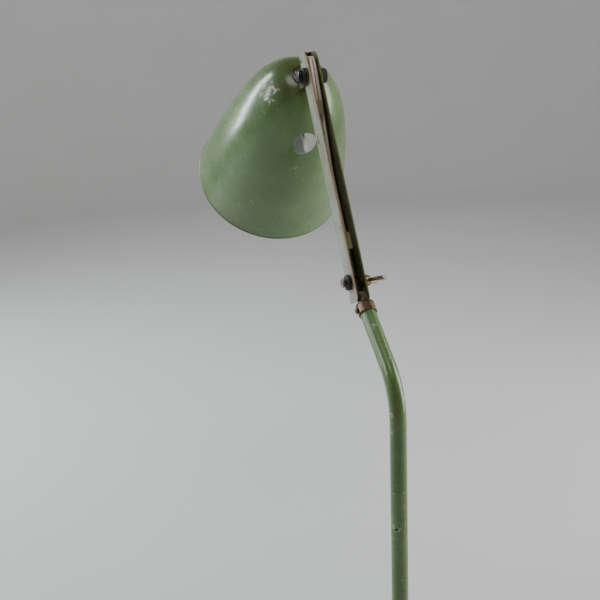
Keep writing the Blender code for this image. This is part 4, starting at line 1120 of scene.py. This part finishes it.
def build_bulb():
    heights = evenly(70.6, 50.0, 100)
    profile = [(13.3, 71)] + [(13.3, z) for z in heights] + [(12.9, 48.6), (10, 44.8), (9.4, 44.6)]
    profile += [(5, 44.6), (5, 46), (12, 49), (12.3, 50), (12.3, 71)]
    lathe("bulb_thread", "bulb_cap", "head", POLE, profile, 72, True, cap_thread)
    profile = [(0, 45.4), (4.6, 45.4, 0.2), (4.6, 43.4, 0.3), (3.5, 42.4, 0.6), (0, 42.2)]
    lathe("bulb_tip", "bulb_contact", "head", POLE, profile, 40, False)
    globe_z, globe_r = 120.0, 30.0
    globe = arc((0.0, globe_z), globe_r, 90, -36, 40)
    globe[0] = (0.0, globe_z + globe_r)
    neck = [(18.6, 91.2, 6), (15, 84, 8), (13.2, 77, 3), (13.2, 71.3, 0.3), (11.7, 71.3, 0.1)]
    neck += [(11.7, 60, 0.2), (10.7, 60, 0.2), (10.7, 77, 3), (14, 85, 6), (17.4, 91.8, 5)]
    inner = arc((0.0, globe_z), globe_r - 1.0, -36, 90, 30)
    inner[-1] = (0.0, globe_z + globe_r - 1.0)
    lathe("globe", "bulb_globe", "head", POLE, globe + neck + inner, 120, False)


def cap_thread(radius, height, angle):
    """The bulb's rolled thread, on the outside of its cap only."""
    if radius < 13.0 * MM:
        return (radius, height)
    return threaded(3.5 * MM, 0.7 * MM, 50.0 * MM, 69.0 * MM)(radius, height, angle)


def finish_cad_nodes():
    """The CAD nodes that stay, all inside the base or the tube, get the same materials."""
    for node, piece in frame["nodes"].items():
        if piece.hide_render:
            continue
        slot = SLOT_OF[node]
        repaint(piece, slot)


# Stage
def build_stage():
    """A pale round floor that curves up into a wall on every side."""
    radius, bend, top, sides = 3.4, 1.2, 4.2, 96
    curve = [(radius + bend * sin(t), bend * (1 - cos(t))) for t in evenly(0.0, pi / 2, 16)]
    profile = curve + [(radius + bend, top)]
    vertices = [(0.0, 0.0, 0.0)]
    for x, y in circle(1.0, sides):
        vertices += [(out * x, out * y, up) for out, up in profile]
    count = len(profile)
    faces = []
    for step in range(sides):
        here = 1 + step * count
        after = 1 + (step + 1) % sides * count
        faces.append((0, here, after))
        faces += [(here + row, here + row + 1, after + row + 1, after + row) for row in range(count - 1)]
    mesh = bpy.data.meshes.new("floor")
    mesh.from_pydata(vertices, [], faces)
    mesh.shade_smooth()
    paper = Finish("pale_floor", Roughness=0.85)
    paper.feed("Base Color", paper.mix(paper.noise(3.0, 3.0), (0.60, 0.60, 0.59), (0.64, 0.64, 0.63)))
    mesh.materials.append(paper.mat)
    put("floor", mesh)


def soft_light(name, place, aim, size, watts, colour):
    data = bpy.data.lights.new(name, "AREA")
    data.shape = "RECTANGLE"
    data.size = size[0]
    data.size_y = size[1]
    data.energy = watts
    data.color = colour
    light = put(name, data)
    light.location = place
    light.rotation_euler = (Vector(aim) - Vector(place)).to_track_quat("-Z", "Y").to_euler()


def build_light():
    world = bpy.data.worlds.new("studio")
    bpy.context.scene.world = world
    world.use_nodes = True
    backdrop = world.node_tree.nodes["Background"]
    backdrop.inputs["Color"].default_value = (0.93, 0.96, 1.0, 1.0)
    backdrop.inputs["Strength"].default_value = 0.07
    aim = (0.0, 0.25, 0.45)
    soft_light("window_left", (-1.15, 1.15, 1.18), aim, (0.32, 1.5), 32.0, (0.88, 0.94, 1.0))
    soft_light("window_left_near", (-1.4, 0.3, 1.15), aim, (0.14, 0.6), 6.0, (0.88, 0.94, 1.0))
    soft_light("window_right", (1.25, -0.1, 0.75), aim, (0.9, 1.3), 24.0, (1.0, 0.99, 0.96))
    soft_light("overhead", (-0.15, -0.5, 2.1), aim, (0.6, 0.6), 4.5, (1.0, 0.98, 0.95))
    soft_light("backdrop_wash", (0.0, 1.0, 2.6), (0.0, 4.0, 1.7), (5.0, 1.5), 60.0, (1.0, 1.0, 1.0))
    soft_light("front_wash", (0.0, -1.0, 2.9), (0.0, -4.0, 2.3), (5.0, 1.0), 16.0, (1.0, 1.0, 1.0))


build_base()
build_stem()
build_knuckle()
build_channel()
build_lower_joint()
build_wing_nut()
build_flex()
build_shade()
build_yoke()
build_upper_joint()
build_neck()
build_lampholder()
build_bulb()
finish_cad_nodes()
build_stage()
build_light()
